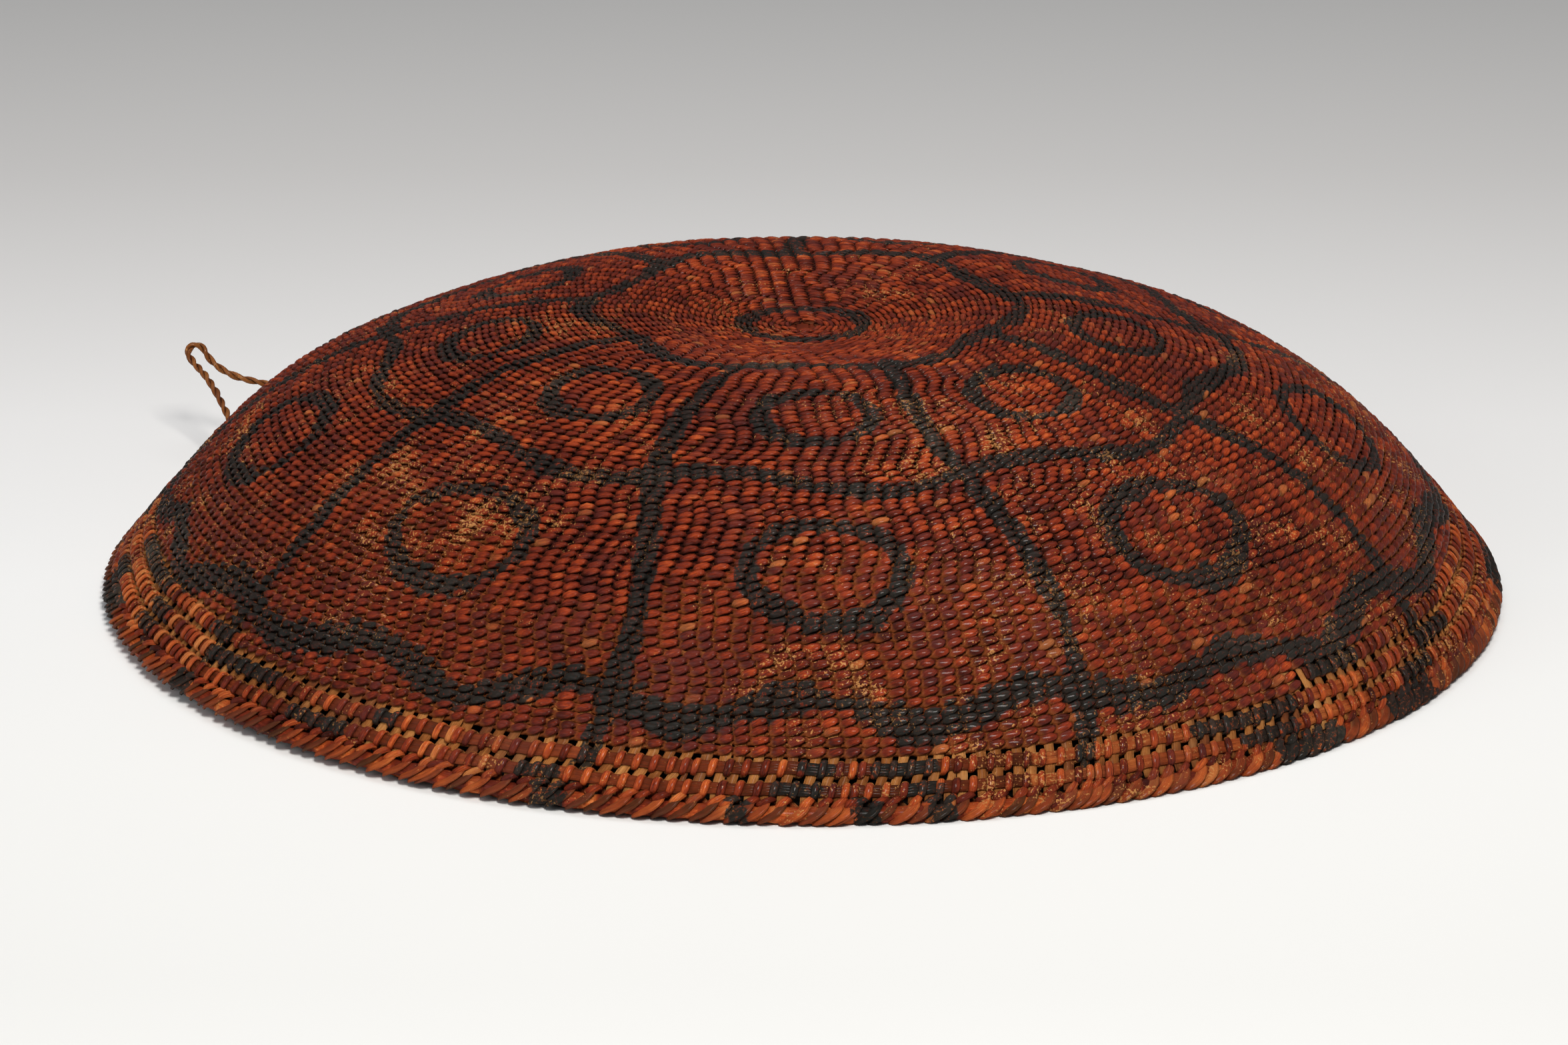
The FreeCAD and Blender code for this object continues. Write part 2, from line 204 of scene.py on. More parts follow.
# ------------------------------------------------------------------ mesh helpers
class Build:
    """Collects points, faces and per-point data for one piece."""

    def __init__(self):
        self.v, self.f, self.a, self.b, self.n = [], [], [], [], 0

    def tube(self, pts, a, b, closed=False, caps=True):
        """pts (K, S, 3) rings of points, a and b (K, S, 4) data. Rings go along the tube."""
        K, S = pts.shape[:2]
        self.v.append(pts.reshape(-1, 3))
        self.a.append(np.broadcast_to(a, (K, S, 4)).reshape(-1, 4))
        self.b.append(np.broadcast_to(b, (K, S, 4)).reshape(-1, 4))
        k = np.arange(K if closed else K - 1)[:, None]
        i = np.arange(S)[None, :]
        k2, i2 = (k + 1) % K, (i + 1) % S
        f = np.stack([k * S + i, k * S + i2, k2 * S + i2, k2 * S + i], -1).reshape(-1, 4) + self.n
        self.f.append(f)
        if caps and not closed:
            for row, flip in ((0, True), (K - 1, False)):
                ids = self.n + row * S + np.arange(S)
                if flip:
                    ids = ids[::-1]
                # fan of quads and one triangle
                j = 1
                while j < S - 1:
                    if j + 2 < S:
                        self.f.append(np.array([[ids[0], ids[j], ids[j + 1], ids[j + 2]]]))
                        j += 2
                    else:
                        self.f.append(np.array([[ids[0], ids[j], ids[j + 1], ids[j + 1]]]))
                        j += 1
        self.n += K * S

    def tubes(self, pts, a, b):
        """Many separate tubes of the same size at once: pts (N, K, S, 3), with capped ends."""
        N, K, S = pts.shape[:3]
        self.v.append(pts.reshape(-1, 3))
        self.a.append(np.broadcast_to(a, (N, K, S, 4)).reshape(-1, 4))
        self.b.append(np.broadcast_to(b, (N, K, S, 4)).reshape(-1, 4))
        n = np.arange(N)[:, None, None]
        k = np.arange(K - 1)[None, :, None]
        i = np.arange(S)[None, None, :]
        i2 = (i + 1) % S
        base = n * K * S
        f = np.stack([base + k * S + i, base + k * S + i2, base + (k + 1) * S + i2, base + (k + 1) * S + i], -1)
        self.f.append(f.reshape(-1, 4) + self.n)
        n = np.arange(N)
        for row, flip in ((0, True), (K - 1, False)):
            j = 1
            while j < S - 1:
                ids = [0, j, j + 1, j + 2] if j + 2 < S else [0, j, j + 1, j + 1]
                if flip:
                    ids = ids[::-1]
                self.f.append(np.stack([n * K * S + row * S + q for q in ids], -1) + self.n)
                j += 2 if j + 2 < S else 1
        self.n += N * K * S

    def make(self, name, mat, node=None, body="hat", smooth=True):
        v = np.concatenate(self.v) * MM
        f = np.concatenate(self.f)
        tri = f[:, 2] == f[:, 3]
        tri2 = f[:, 0] == f[:, 1]
        counts = np.where(tri | tri2, 3, 4)
        flat = []
        q = f[~(tri | tri2)]
        t1 = f[tri][:, :3]
        t2 = f[tri2 & ~tri][:, 1:]
        loops = np.concatenate([q.reshape(-1), t1.reshape(-1), t2.reshape(-1)])
        counts = np.concatenate([np.full(len(q), 4), np.full(len(t1) + len(t2), 3)])
        starts = np.concatenate([[0], np.cumsum(counts)[:-1]])
        me = bpy.data.meshes.new(name)
        me.vertices.add(len(v))
        me.vertices.foreach_set("co", v.astype(np.float32).ravel())
        me.loops.add(len(loops))
        me.loops.foreach_set("vertex_index", loops.astype(np.int32))
        me.polygons.add(len(counts))
        me.polygons.foreach_set("loop_start", starts.astype(np.int32))
        me.polygons.foreach_set("use_smooth", np.full(len(counts), smooth))
        for key, data in (("wa", self.a), ("wb", self.b)):
            at = me.attributes.new(key, "FLOAT_COLOR", "POINT")
            at.data.foreach_set("color", np.concatenate(data).astype(np.float32).ravel())
        me.update(calc_edges=True)
        me.validate(clean_customdata=False)
        me.materials.append(mat)
        ob = bpy.data.objects.new(name, me)
        bpy.context.scene.collection.objects.link(ob)
        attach(ob, body)
        if node:
            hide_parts(*([node] if isinstance(node, str) else node))
        return ob


def hash01(k, salt=0):
    """Repeatable value in 0..1 for whole numbers."""
    x = (np.asarray(k, np.int64) * 2654435761 + salt * 40503 + 12345) & 0xFFFFFFFF
    x = ((x ^ (x >> 15)) * 2246822519) & 0xFFFFFFFF
    x = ((x ^ (x >> 13)) * 3266489917) & 0xFFFFFFFF
    return ((x ^ (x >> 16)) & 0xFFFFFF) / float(0xFFFFFF)


# ------------------------------------------------------------------ warps: where each one runs
WARPS = 272
PITCH = TAU * RIM_R / WARPS
_x = (np.arange(WARPS) * 0.6180339887) % 1.0
_order = np.argsort(_x)
RANK = np.empty(WARPS, int)
RANK[np.arange(WARPS)] = _order          # rank (age) of each warp, in order round the hat
R_IN = (RANK + 1.0) * PITCH / TAU * 1.02
R_IN = R_IN + (hash01(RANK, 3) - 0.5) * np.minimum(6.0, 0.25 * R_IN)
R_IN[RANK < 7] = -5.0
THETA0 = math.radians(97.0)              # the seam of the spiral, at the rear


def weights(r):
    span = np.clip(0.16 * R_IN, 2.5, 13.0)
    t = np.clip((np.asarray(r)[..., None] - R_IN) / span + 0.5, 0.0, 1.0)
    return np.clip(t * t * (3 - 2 * t), 1e-4, 1.0)


S_GRID = np.arange(0.0, ARC + 16.0, 1.0)
_w = weights(np.interp(S_GRID, S_F, R_F))
_cum = np.cumsum(_w, 1)
TH_GRID = THETA0 + TAU * (_cum - _w / 2) / _cum[:, -1:]      # (S, WARPS)
# a small lazy wander of every warp
TH_GRID = TH_GRID + 0.0035 * np.sin(S_GRID[:, None] / 19.0 + TAU * hash01(np.arange(WARPS), 5)[None, :]) * np.clip(S_GRID[:, None] / 60, 0, 1)
W_GRID = _w


def warp_theta(j, s):
    k = np.clip(np.asarray(s), 0, S_GRID[-1] - 1e-6)
    i = k.astype(int)
    t = k - i
    return TH_GRID[i, j] * (1 - t) + TH_GRID[i + 1, j] * t


# ------------------------------------------------------------------ close weave: one long spiral of two strands
D_FRONT, D_BODY = 20.2, 26.4             # where the close weave ends, from the edge
TH_A, TH_B = math.radians(-45.0), math.radians(215.0)


def front_share(theta):
    """True in the front sector, where the close weave comes lower and there is no third row."""
    a = (np.asarray(theta) - TH_A) % TAU
    return a > (TH_B - TH_A)


def end_of_weave(theta):
    """Arc length where the close weave stops: lower in front, higher where the third row runs."""
    return ARC - np.where(front_share(theta), D_FRONT, D_BODY)


WEAVE_END = 225.72
turns = [4.2]
while turns[-1] < ARC - D_FRONT + 3:
    s = turns[-1]
    turns.append(s + 1.55 + 1.22 * min(1.0, (s / 172.0) ** 0.9))
turns = np.array(turns)
# stretched a little so that the last turn runs out where the front rows take over
turns = 4.2 + (turns - 4.2) * (WEAVE_END - 4.2) / (turns[-1] - 4.2)
col_t, col_s, col_j, col_row = [], [], [], []
for row in range(len(turns) - 1):
    s0, s1 = turns[row], turns[row + 1]
    mid = (s0 + s1) / 2
    i = int(mid)
    th = TH_GRID[i] * (1 - (mid - i)) + TH_GRID[i + 1] * (mid - i)
    w = W_GRID[i] * (1 - (mid - i)) + W_GRID[i + 1] * (mid - i)
    j = np.where(w > 0.52)[0]
    frac = np.clip((th[j] - THETA0) / TAU, 0, 1)
    s = s0 + (s1 - s0) * frac
    keep = s <= end_of_weave(th[j])
    col_t.append(warp_theta(j, s)[keep] + TAU * row)
    col_s.append(s[keep]); col_j.append(j[keep]); col_row.append(np.full(keep.sum(), row))
M_T, M_S = np.concatenate(col_t), np.concatenate(col_s)
M_J, M_ROW = np.concatenate(col_j), np.concatenate(col_row)
NM = len(M_T)
row_pitch = np.diff(turns)[M_ROW]
# small unevenness of each stitch
S_EVEN = M_S.copy()
M_S = M_S + (hash01(np.arange(NM), 11) - 0.5) * 0.34 + 0.22 * np.sin(M_T * 9.0 + M_ROW * 1.7) * np.clip(M_S / 120, 0, 1)
# rows sway together by a millimetre or so, and in a few places two rows have parted and show the warps
M_R = np.interp(S_EVEN, S_F, R_F)
M_S = M_S + np.clip(S_EVEN / 60, 0, 1) * np.clip((ARC - 30 - S_EVEN) / 20, 0, 1) * (
    0.7 * np.sin(M_T * 3.0 + 0.6) * np.sin(S_EVEN / 23.0 + 0.5) + 0.45 * np.sin(M_T * 11.0 + S_EVEN / 13.0))
PARTED = [(-112, 186, 9, 0.75), (-104, 187, 7, 0.6), (-96, 191, 4, 0.6), (-85, 176, 5, 0.55), (-118, 178, 6, 0.5), (-62, 180, 7, 0.5),
          (-135, 192, 6, 0.6), (-50, 188, 8, 0.6), (-74, 189, 5, 0.5), (-128, 168, 5, 0.45), (20, 180, 8, 0.6), (75, 176, 7, 0.6),
          (140, 170, 7, 0.5), (200, 185, 8, 0.6), (-92, 150, 4, 0.45), (-57, 160, 5, 0.45), (-150, 186, 6, 0.5), (110, 188, 9, 0.6)]
for ang_, r_, len_, amp_ in PARTED:
    dt = (M_T - math.radians(ang_) + math.pi) % TAU - math.pi
    sg_ = float(np.interp(r_, R_F, S_F))
    M_S = M_S + amp_ * np.sign(S_EVEN - sg_) * np.exp(-(dt * M_R / len_) ** 2) * np.exp(-np.abs(S_EVEN - sg_) / 4.5)
print("stitches", NM, "rows", len(turns) - 1)

T_OUT = np.array([-0.5, -0.41, -0.26, 0.0, 0.26, 0.41])
T_IN = np.array([-0.5, -0.25, 0.0, 0.25])
ALPHA = np.radians(np.array([-92.0, -52.0, -17.0, 17.0, 52.0, 92.0, 180.0]))
MID = -1.49                                # middle of the warps, below the outer surface


def strand(build, m0, m1, phase, detail=True):
    """One weft strand over the warps m0..m1 of the spiral. With phase 0 it is outside on even warps."""
    m = np.arange(m0, m1)
    gap = np.where(M_S[m0 + 1:m1] > 150, 0.10, 9.0)
    brk = np.concatenate([[True], np.diff(M_T[m0:m1]) > gap])
    runs = np.split(m, np.where(brk)[0][1:])
    for run in runs:
        if len(run) < 3:
            continue
        tt, mm = [], []
        for k in run:
            out = (k + phase) % 2 == 0
            t = T_OUT if out else T_IN
            tt.append(t); mm.append(np.full(len(t), k))
        tt, mm = np.concatenate(tt), np.concatenate(mm)
        tt = np.append(tt, 0.5); mm = np.append(mm, run[-1])
        out = (mm + phase) % 2 == 0
        nxt, prv = np.minimum(mm + 1, run[-1]), np.maximum(mm - 1, run[0])
        step = np.where(tt >= 0, np.where(nxt > mm, M_T[nxt] - M_T[mm], M_T[mm] - M_T[prv]),
                        np.where(prv < mm, M_T[mm] - M_T[prv], M_T[nxt] - M_T[mm]))
        th = M_T[mm] + tt * step
        sn = np.where(tt >= 0, M_S[nxt], M_S[prv])
        s = M_S[mm] + np.abs(tt) * (sn - M_S[mm])
        pitch = row_pitch[mm]
        # at the centre of the hat the strands are thinner
        small = np.clip(pitch / 2.7, 0.6, 1.0)
        c = np.cos(math.pi * tt)
        sg = np.where(out, 1.0, -1.0)
        fat = 0.88 + 0.24 * hash01(mm, 17 + phase)
        # high on the hat the ends of the stitches dive deeper, so the columns stand apart
        up = 1 - np.clip((s - 128.0) / 46.0, 0, 1)
        a_n = (0.35 + 0.70 * small) * fat
        # the right-hand end of a stitch stays on top of the next one's start
        lift = a_n * np.sign(c) * np.abs(c) ** 0.5 * sg + (0.36 - 0.16 * up) * small * np.sin(math.pi * tt) * sg
        slant = (0.62 - 0.12 * up) * small * (0.65 + 0.7 * hash01(mm, 23))
        lean = np.where(out, -2 * tt * slant, 2 * tt * slant)
        # the face turns only at the ends of an outside pass
        turn = np.where(out, 0.5 * math.pi * np.sign(tt) * np.abs(2 * tt) ** 3, math.pi * tt)
        e1n = np.cos(turn) * sg
        e1s = np.where(out, -np.sin(turn), np.sin(turn))
        m_ = np.abs(c) ** (0.32 + 0.10 * up)
        ra = (0.76 * m_ + (0.72 - 0.20 * up) * (1 - m_)) * small * fat
        rb = (0.485 * pitch * m_ + (0.98 - 0.40 * up) * small * (1 - m_)) * (0.93 + 0.15 * hash01(mm, 29 + phase))
        # no strand is quite even
        lump = hash01(mm * 11 + np.round(tt * 20).astype(int), 61 + phase) - 0.5
        ra = ra * (1 + 0.20 * lump)
        rb = rb * (1 + 0.16 * (hash01(mm * 13 + np.round(tt * 20).astype(int), 67 + phase) - 0.5))
        cs, sn_ = np.cos(ALPHA), np.sin(ALPHA)
        # local offsets: e1 = (e1n out, e1s down), e2 = (-e1s out, e1n down)
        un = ra[:, None] * cs * e1n[:, None] + rb[:, None] * sn_ * (-e1s[:, None])
        us = ra[:, None] * cs * e1s[:, None] + rb[:, None] * sn_ * e1n[:, None]
        off = MID + lift[:, None] + un
        ds = lean[:, None] + us
        P = place(th[:, None], s[:, None], off, ds)
        x, y = P[..., 0], P[..., 1]
        sd = np.clip((paint_at(x, y) + 4) / 8, 0, 1)
        sd = sd + (1 - sd) * np.clip((MID - off) / 0.6, 0, 1)     # the paint is on the outside only
        # how far each point stands out of the weave: the material paints the low parts darker and the tops lighter, as
        # painted shade and highlight
        height = np.clip((off - MID) / (1.85 * small)[:, None], 0, 1)
        r1 = hash01(mm, 41 + phase)[:, None] * np.ones_like(off)
        r2 = hash01(mm, 43 + phase)[:, None] * np.ones_like(off)
        A = np.stack([r1, r2, sd, height], -1)
        tpos = (tt + 0.5)[:, None] * np.ones_like(off)
        round_ = (np.degrees(ALPHA) / 360 + 0.5)[None, :] * np.ones_like(off)
        outw = np.where(out, 1.0, 0.0)[:, None] * np.ones_like(off)
        B = np.stack([tpos, round_, outw, np.clip(s / 250, 0, 1)[:, None] * np.ones_like(off)], -1)
        build.tube(P, A, B)


# ------------------------------------------------------------------ materials
def lin(r, g, b, a=1.0):
    def f(c):
        c = c / 255.0
        return c / 12.92 if c <= 0.04045 else ((c + 0.055) / 1.055) ** 2.4
    return (f(r), f(g), f(b), a)


class Shader:
    def __init__(self, name):
        self.mat = bpy.data.materials.new(name)
        self.mat.use_nodes = True
        self.t = self.mat.node_tree
        self.t.nodes.clear()
        self.out = self.t.nodes.new("ShaderNodeOutputMaterial")
        self.bsdf = self.t.nodes.new("ShaderNodeBsdfPrincipled")
        self.t.links.new(self.bsdf.outputs[0], self.out.inputs[0])
        self.obj = self.t.nodes.new("ShaderNodeTexCoord").outputs["Object"]

    def put(self, sock, val):
        if isinstance(val, bpy.types.NodeSocket):
            self.t.links.new(val, sock)
        elif val is not None:
            sock.default_value = val

    def math(self, op, a, b=None, c=None, clamp=False):
        n = self.t.nodes.new("ShaderNodeMath")
        n.operation, n.use_clamp = op, clamp
        for i, v in enumerate((a, b, c)):
            self.put(n.inputs[i], v)
        return n.outputs[0]

    def ramp(self, fac, stops, interp="LINEAR"):
        n = self.t.nodes.new("ShaderNodeValToRGB")
        n.color_ramp.interpolation = interp
        e = n.color_ramp.elements
        e[0].position, e[0].color = stops[0][0], stops[0][1]
        e[1].position, e[1].color = stops[-1][0], stops[-1][1]
        for p, c in stops[1:-1]:
            k = e.new(p)
            k.color = c
        self.put(n.inputs[0], fac)
        return n.outputs[0]

    def step(self, fac, lo, hi):
        n = self.t.nodes.new("ShaderNodeMapRange")
        n.interpolation_type = "SMOOTHSTEP"
        self.put(n.inputs["Value"], fac)
        n.inputs["From Min"].default_value = min(lo, hi)
        n.inputs["From Max"].default_value = max(lo, hi)
        n.inputs["To Min"].default_value = 0.0 if lo < hi else 1.0
        n.inputs["To Max"].default_value = 1.0 if lo < hi else 0.0
        return n.outputs[0]

    def mix(self, fac, a, b, mode="MIX"):
        n = self.t.nodes.new("ShaderNodeMix")
        n.data_type, n.blend_type = "RGBA", mode
        self.put(n.inputs[0], fac)
        self.put(n.inputs[6], a)
        self.put(n.inputs[7], b)
        return n.outputs[2]

    def noise(self, scale, detail=3.0, rough=0.55, vec=None, dist=0.0):
        n = self.t.nodes.new("ShaderNodeTexNoise")
        self.put(n.inputs["Vector"], self.obj if vec is None else vec)
        n.inputs["Scale"].default_value = scale
        n.inputs["Detail"].default_value = detail
        n.inputs["Roughness"].default_value = rough
        n.inputs["Distortion"].default_value = dist
        return n.outputs[0]

    def stretch(self, vec, sx, sy, sz):
        n = self.t.nodes.new("ShaderNodeVectorMath")
        n.operation = "MULTIPLY"
        self.put(n.inputs[0], vec)
        n.inputs[1].default_value = (sx, sy, sz)
        return n.outputs[0]

    def attr(self, name):
        n = self.t.nodes.new("ShaderNodeAttribute")
        n.attribute_type, n.attribute_name = "GEOMETRY", name
        sep = self.t.nodes.new("ShaderNodeSeparateColor")
        self.t.links.new(n.outputs["Color"], sep.inputs[0])
        return sep.outputs[0], sep.outputs[1], sep.outputs[2], n.outputs["Alpha"]

    def vec(self, x, y, z):
        n = self.t.nodes.new("ShaderNodeCombineXYZ")
        for i, v in enumerate((x, y, z)):
            self.put(n.inputs[i], v)
        return n.outputs[0]

    def bump(self, height, strength, dist):
        n = self.t.nodes.new("ShaderNodeBump")
        n.inputs["Strength"].default_value = strength
        n.inputs["Distance"].default_value = dist
        self.put(n.inputs["Height"], height)
        self.t.links.new(n.outputs[0], self.bsdf.inputs["Normal"])

    def finish(self, color, rough, spec=0.5, coat=0.0, coat_rough=0.3, sheen=0.0):
        self.put(self.bsdf.inputs["Base Color"], color)
        self.put(self.bsdf.inputs["Roughness"], rough)
        self.bsdf.inputs["Specular IOR Level"].default_value = spec
        self.bsdf.inputs["Coat Weight"].default_value = coat
        self.bsdf.inputs["Coat Roughness"].default_value = coat_rough
        self.bsdf.inputs["Sheen Weight"].default_value = sheen
        return self.mat


def cane(name, stops, bare, recess=0.8, fleck=0.5, coat=0.2, streaks=7.0, paint=True, patch=0.32, rough=0.42,
         tan_edges=0.0, vary=0.36, dyed_above=False):
    """Split cane: red-brown dye, streaks along the strand, bare cane in the hollows and where it is worn, painted shade
    in the hollows and along the sides of each strand, a painted highlight on its top, black paint.
    """
    S = Shader(name)
    r1, r2, sd, high = S.attr("wa")
    along, around, outer, down = S.attr("wb")
    big = S.noise(24.0, 2.0)
    mid = S.noise(170.0, 4.0, 0.6)
    fine = S.noise(900.0, 5.0, 0.65)
    where = S.vec(S.math("MULTIPLY_ADD", along, 1.6, S.math("MULTIPLY", r1, 37.0)),
                  S.math("MULTIPLY_ADD", around, streaks * 2.2, S.math("MULTIPLY", r2, 61.0)), r2)
    grain = S.noise(1.0, 5.0, 0.62, vec=where)
    hair = S.noise(1.0, 3.0, 0.7, vec=S.stretch(where, 2.0, 4.5, 1.0))
    low_part = S.step(S.math("MULTIPLY_ADD", S.math("SUBTRACT", big, 0.5), 0.7, down), 0.58, 0.80)
    tone = S.math("MULTIPLY_ADD", S.math("SUBTRACT", r1, 0.5), vary, S.math("MULTIPLY_ADD", low_part, -0.15, 0.565))
    tone = S.math("MULTIPLY_ADD", S.math("SUBTRACT", big, 0.5), patch * 2.0, tone)
    tone = S.math("MULTIPLY_ADD", S.math("SUBTRACT", grain, 0.5), 1.0, tone)
    # painted highlight and shade: the top of each strand is painted lighter and its sides darker, by how far each point
    # stands out
    tone = S.math("MULTIPLY_ADD", S.math("SUBTRACT", high, 0.80), 0.48, tone)
    tone = S.math("MULTIPLY_ADD", S.math("SUBTRACT", mid, 0.5), 0.95, tone, clamp=True)
    col = S.ramp(tone, [(p, lin(*c)) for p, c in stops])
    if dyed_above:
        lift = S.t.nodes.new("ShaderNodeSeparateXYZ")
        S.t.links.new(S.obj, lift.inputs[0])
        dyed = S.step(S.math("MULTIPLY_ADD", S.math("SUBTRACT", big, 0.5), 0.012, lift.outputs[2]), 0.014, 0.040)
        col = S.mix(S.math("MULTIPLY", dyed, 0.92), col, S.mix(grain, lin(44, 17, 12), lin(112, 48, 26)))
    # patches where the dye is a dull purple
    plum = S.math("MULTIPLY", S.step(S.math("MULTIPLY_ADD", r2, 0.22, S.noise(46.0, 3.0)), 0.60, 0.80), 0.55)
    col = S.mix(plum, col, S.mix(grain, lin(54, 22, 24), lin(104, 46, 40)))
    # dark residue on some strands
    soot = S.math("MULTIPLY", S.step(S.math("ADD", hair, S.math("MULTIPLY", mid, 0.5)), 0.81, 0.98), 0.7)
    col = S.mix(soot, col, lin(34, 15, 14))
    # along the sides and at the ends of each strand: bare orange cane low on the hat; higher up the hollows are painted
    # near-black as painted shade
    side = S.step(S.math("MULTIPLY_ADD", S.math("SUBTRACT", grain, 0.5), 0.35, high), 0.76, 0.30)
    ends = S.math("MULTIPLY", S.step(along, 0.24, 0.02), outer)
    open_ = S.math("MULTIPLY", S.math("MAXIMUM", side, S.math("MULTIPLY", ends, 0.85)), recess)
    bare_vs_painted_shade = S.step(S.math("ADD", low_part, S.math("MULTIPLY", mid, 0.9)), 0.35, 1.15)
    if tan_edges:
        open_ = S.math("MAXIMUM", open_, S.math("MULTIPLY", S.step(S.math("ADD", outer, S.math("MULTIPLY", grain, 0.5)), 0.5, 1.0), tan_edges))
        bare_vs_painted_shade = 1.0
    bare_col = S.mix(grain, lin(*bare[0]), lin(*bare[1]))
    # the hollows: bare cane where the mask is high, painted shade in near-black red where it is low
    col = S.mix(open_, col, S.mix(bare_vs_painted_shade, lin(34, 13, 11), bare_col))
    # here and there one whole stitch has lost its dye
    lost = S.math("MULTIPLY", S.step(S.math("MULTIPLY_ADD", S.math("SUBTRACT", big, 0.5), 0.10, S.math("MULTIPLY_ADD", S.math("SUBTRACT", hair, 0.5), 0.05, r1)), 0.974, 0.998), 0.45)
    col = S.mix(lost, col, S.mix(grain, lin(124, 62, 29), lin(206, 142, 80)))
    # black paint
    k = None
    if paint:
        edge = S.math("MULTIPLY_ADD", S.math("SUBTRACT", mid, 0.5), 0.36, sd)
        edge = S.math("MULTIPLY_ADD", S.math("SUBTRACT", r2, 0.5), 0.20, edge)
        k = S.step(edge, 0.53, 0.45)
        k = S.math("MULTIPLY", k, S.step(S.math("ADD", fine, S.math("MULTIPLY", hair, 0.25)), 0.80, 0.66))
        k = S.math("MULTIPLY", k, 0.96)
        dust = S.ramp(S.math("MULTIPLY_ADD", S.math("SUBTRACT", fine, 0.5), 0.7, S.math("MULTIPLY_ADD", S.math("SUBTRACT", big, 0.5), 0.9, 0.42)),
                      [(0.0, lin(19, 20, 19)), (0.5, lin(38, 39, 35)), (1.0, lin(92, 90, 78))])
        col = S.mix(k, col, dust)
    # worn flecks, in clusters
    chip = S.math("ADD", S.math("MULTIPLY", S.noise(1300.0, 3.0, 0.55), 0.9), S.math("MULTIPLY", S.noise(75.0, 4.0, 0.6), 0.62))
    chip = S.math("MULTIPLY_ADD", S.math("SUBTRACT", S.noise(13.0, 2.0), 0.5), 0.40, chip)
    chip = S.math("ADD", chip, S.math("MULTIPLY", side, 0.035))
    t = 0.985 - 0.075 * fleck
    chip = S.step(chip, t, t + 0.03)
    chip = S.math("MULTIPLY", chip, 0.85)
    chip = S.math("MULTIPLY", chip, S.math("MULTIPLY_ADD", k, -0.55, 1.0)) if paint else chip
    col = S.mix(chip, col, S.mix(hair, lin(162, 96, 46), lin(216, 162, 98)))
    ro = S.math("MULTIPLY_ADD", S.math("SUBTRACT", mid, 0.5), 0.35, rough)
    ro = S.math("MULTIPLY_ADD", chip, 0.3, S.math("MULTIPLY_ADD", open_, 0.25, ro), clamp=True)
    h = S.math("MULTIPLY_ADD", grain, 0.5, S.math("MULTIPLY", hair, 0.5))
    h = S.math("MULTIPLY_ADD", fine, 0.35, h)
    S.bump(h, 0.85, 0.0006)
    return S.finish(col, ro, 0.05, coat * 0.6, 0.16)


RED = [(0.0, (38, 13, 9)), (0.28, (78, 27, 17)), (0.52, (116, 40, 21)), (0.76, (158, 60, 27)), (1.0, (206, 98, 46))]
ORANGE = [(0.0, (66, 26, 15)), (0.3, (118, 46, 23)), (0.55, (162, 74, 36)), (0.8, (200, 112, 56)), (1.0, (228, 156, 92))]
LASH = [(0.0, (48, 17, 11)), (0.28, (98, 34, 19)), (0.52, (142, 54, 26)), (0.76, (186, 86, 38)), (1.0, (222, 132, 70))]
TAN = [(0.0, (110, 60, 28)), (0.3, (156, 94, 46)), (0.6, (198, 134, 74)), (1.0, (230, 178, 116))]
BROWN = [(0.0, (84, 44, 22)), (0.35, (124, 70, 34)), (0.7, (158, 98, 50)), (1.0, (196, 136, 78))]
M_WEFT = cane("red_weft_cane", RED, ((128, 58, 27), (196, 112, 56)), recess=0.62, coat=0.22, fleck=0.75)
M_WARP = cane("plain_splint", TAN, ((120, 70, 38), (160, 104, 58)), recess=0.2, fleck=0.2, coat=0.06, streaks=16.0, rough=0.55, patch=0.35, dyed_above=True)
M_BAND = cane("border_band_cane", ORANGE, ((150, 84, 38), (196, 130, 68)), recess=0.6, fleck=1.1, coat=0.1, vary=0.6, streaks=12.0, rough=0.48)
M_LASH = cane("border_lashing_cane", LASH, ((172, 100, 44), (218, 152, 84)), recess=1.0, fleck=1.3, vary=0.62, coat=0.2, streaks=8.0)
M_EDGE = cane("edge_braid_cane", LASH, ((156, 90, 44), (216, 154, 90)), recess=0.5, fleck=1.0, coat=0.1, streaks=10.0,
              rough=0.48, tan_edges=0.75, vary=0.7)
M_RING = cane("head_ring_cane", TAN, ((120, 74, 42), (160, 108, 62)), recess=0.5, fleck=0.2, coat=0.08, streaks=9.0, rough=0.55, paint=False)
M_CORD = cane("cord_cane", BROWN, ((112, 62, 30), (150, 92, 46)), recess=0.7, fleck=0.15, coat=0.3, streaks=9.0, rough=0.38, paint=False, patch=0.2)


def wood(name, stops, axis):
    """Grain for the flat splints that stay as they are in the frame: it runs along one axis."""
    S = Shader(name)
    st = (60.0, 1400.0, 700.0) if axis == "x" else (1400.0, 60.0, 700.0)
    g = S.noise(1.0, 5.0, 0.6, vec=S.stretch(S.obj, *st))
    m = S.noise(120.0, 3.0)
    tone = S.math("MULTIPLY_ADD", S.math("SUBTRACT", m, 0.5), 0.8, g, clamp=True)
    col = S.ramp(tone, [(p, lin(*c)) for p, c in stops])
    S.bump(g, 0.5, 0.0003)
    return S.finish(col, S.math("MULTIPLY_ADD", g, 0.2, 0.55), 0.06, 0.02, 0.3)


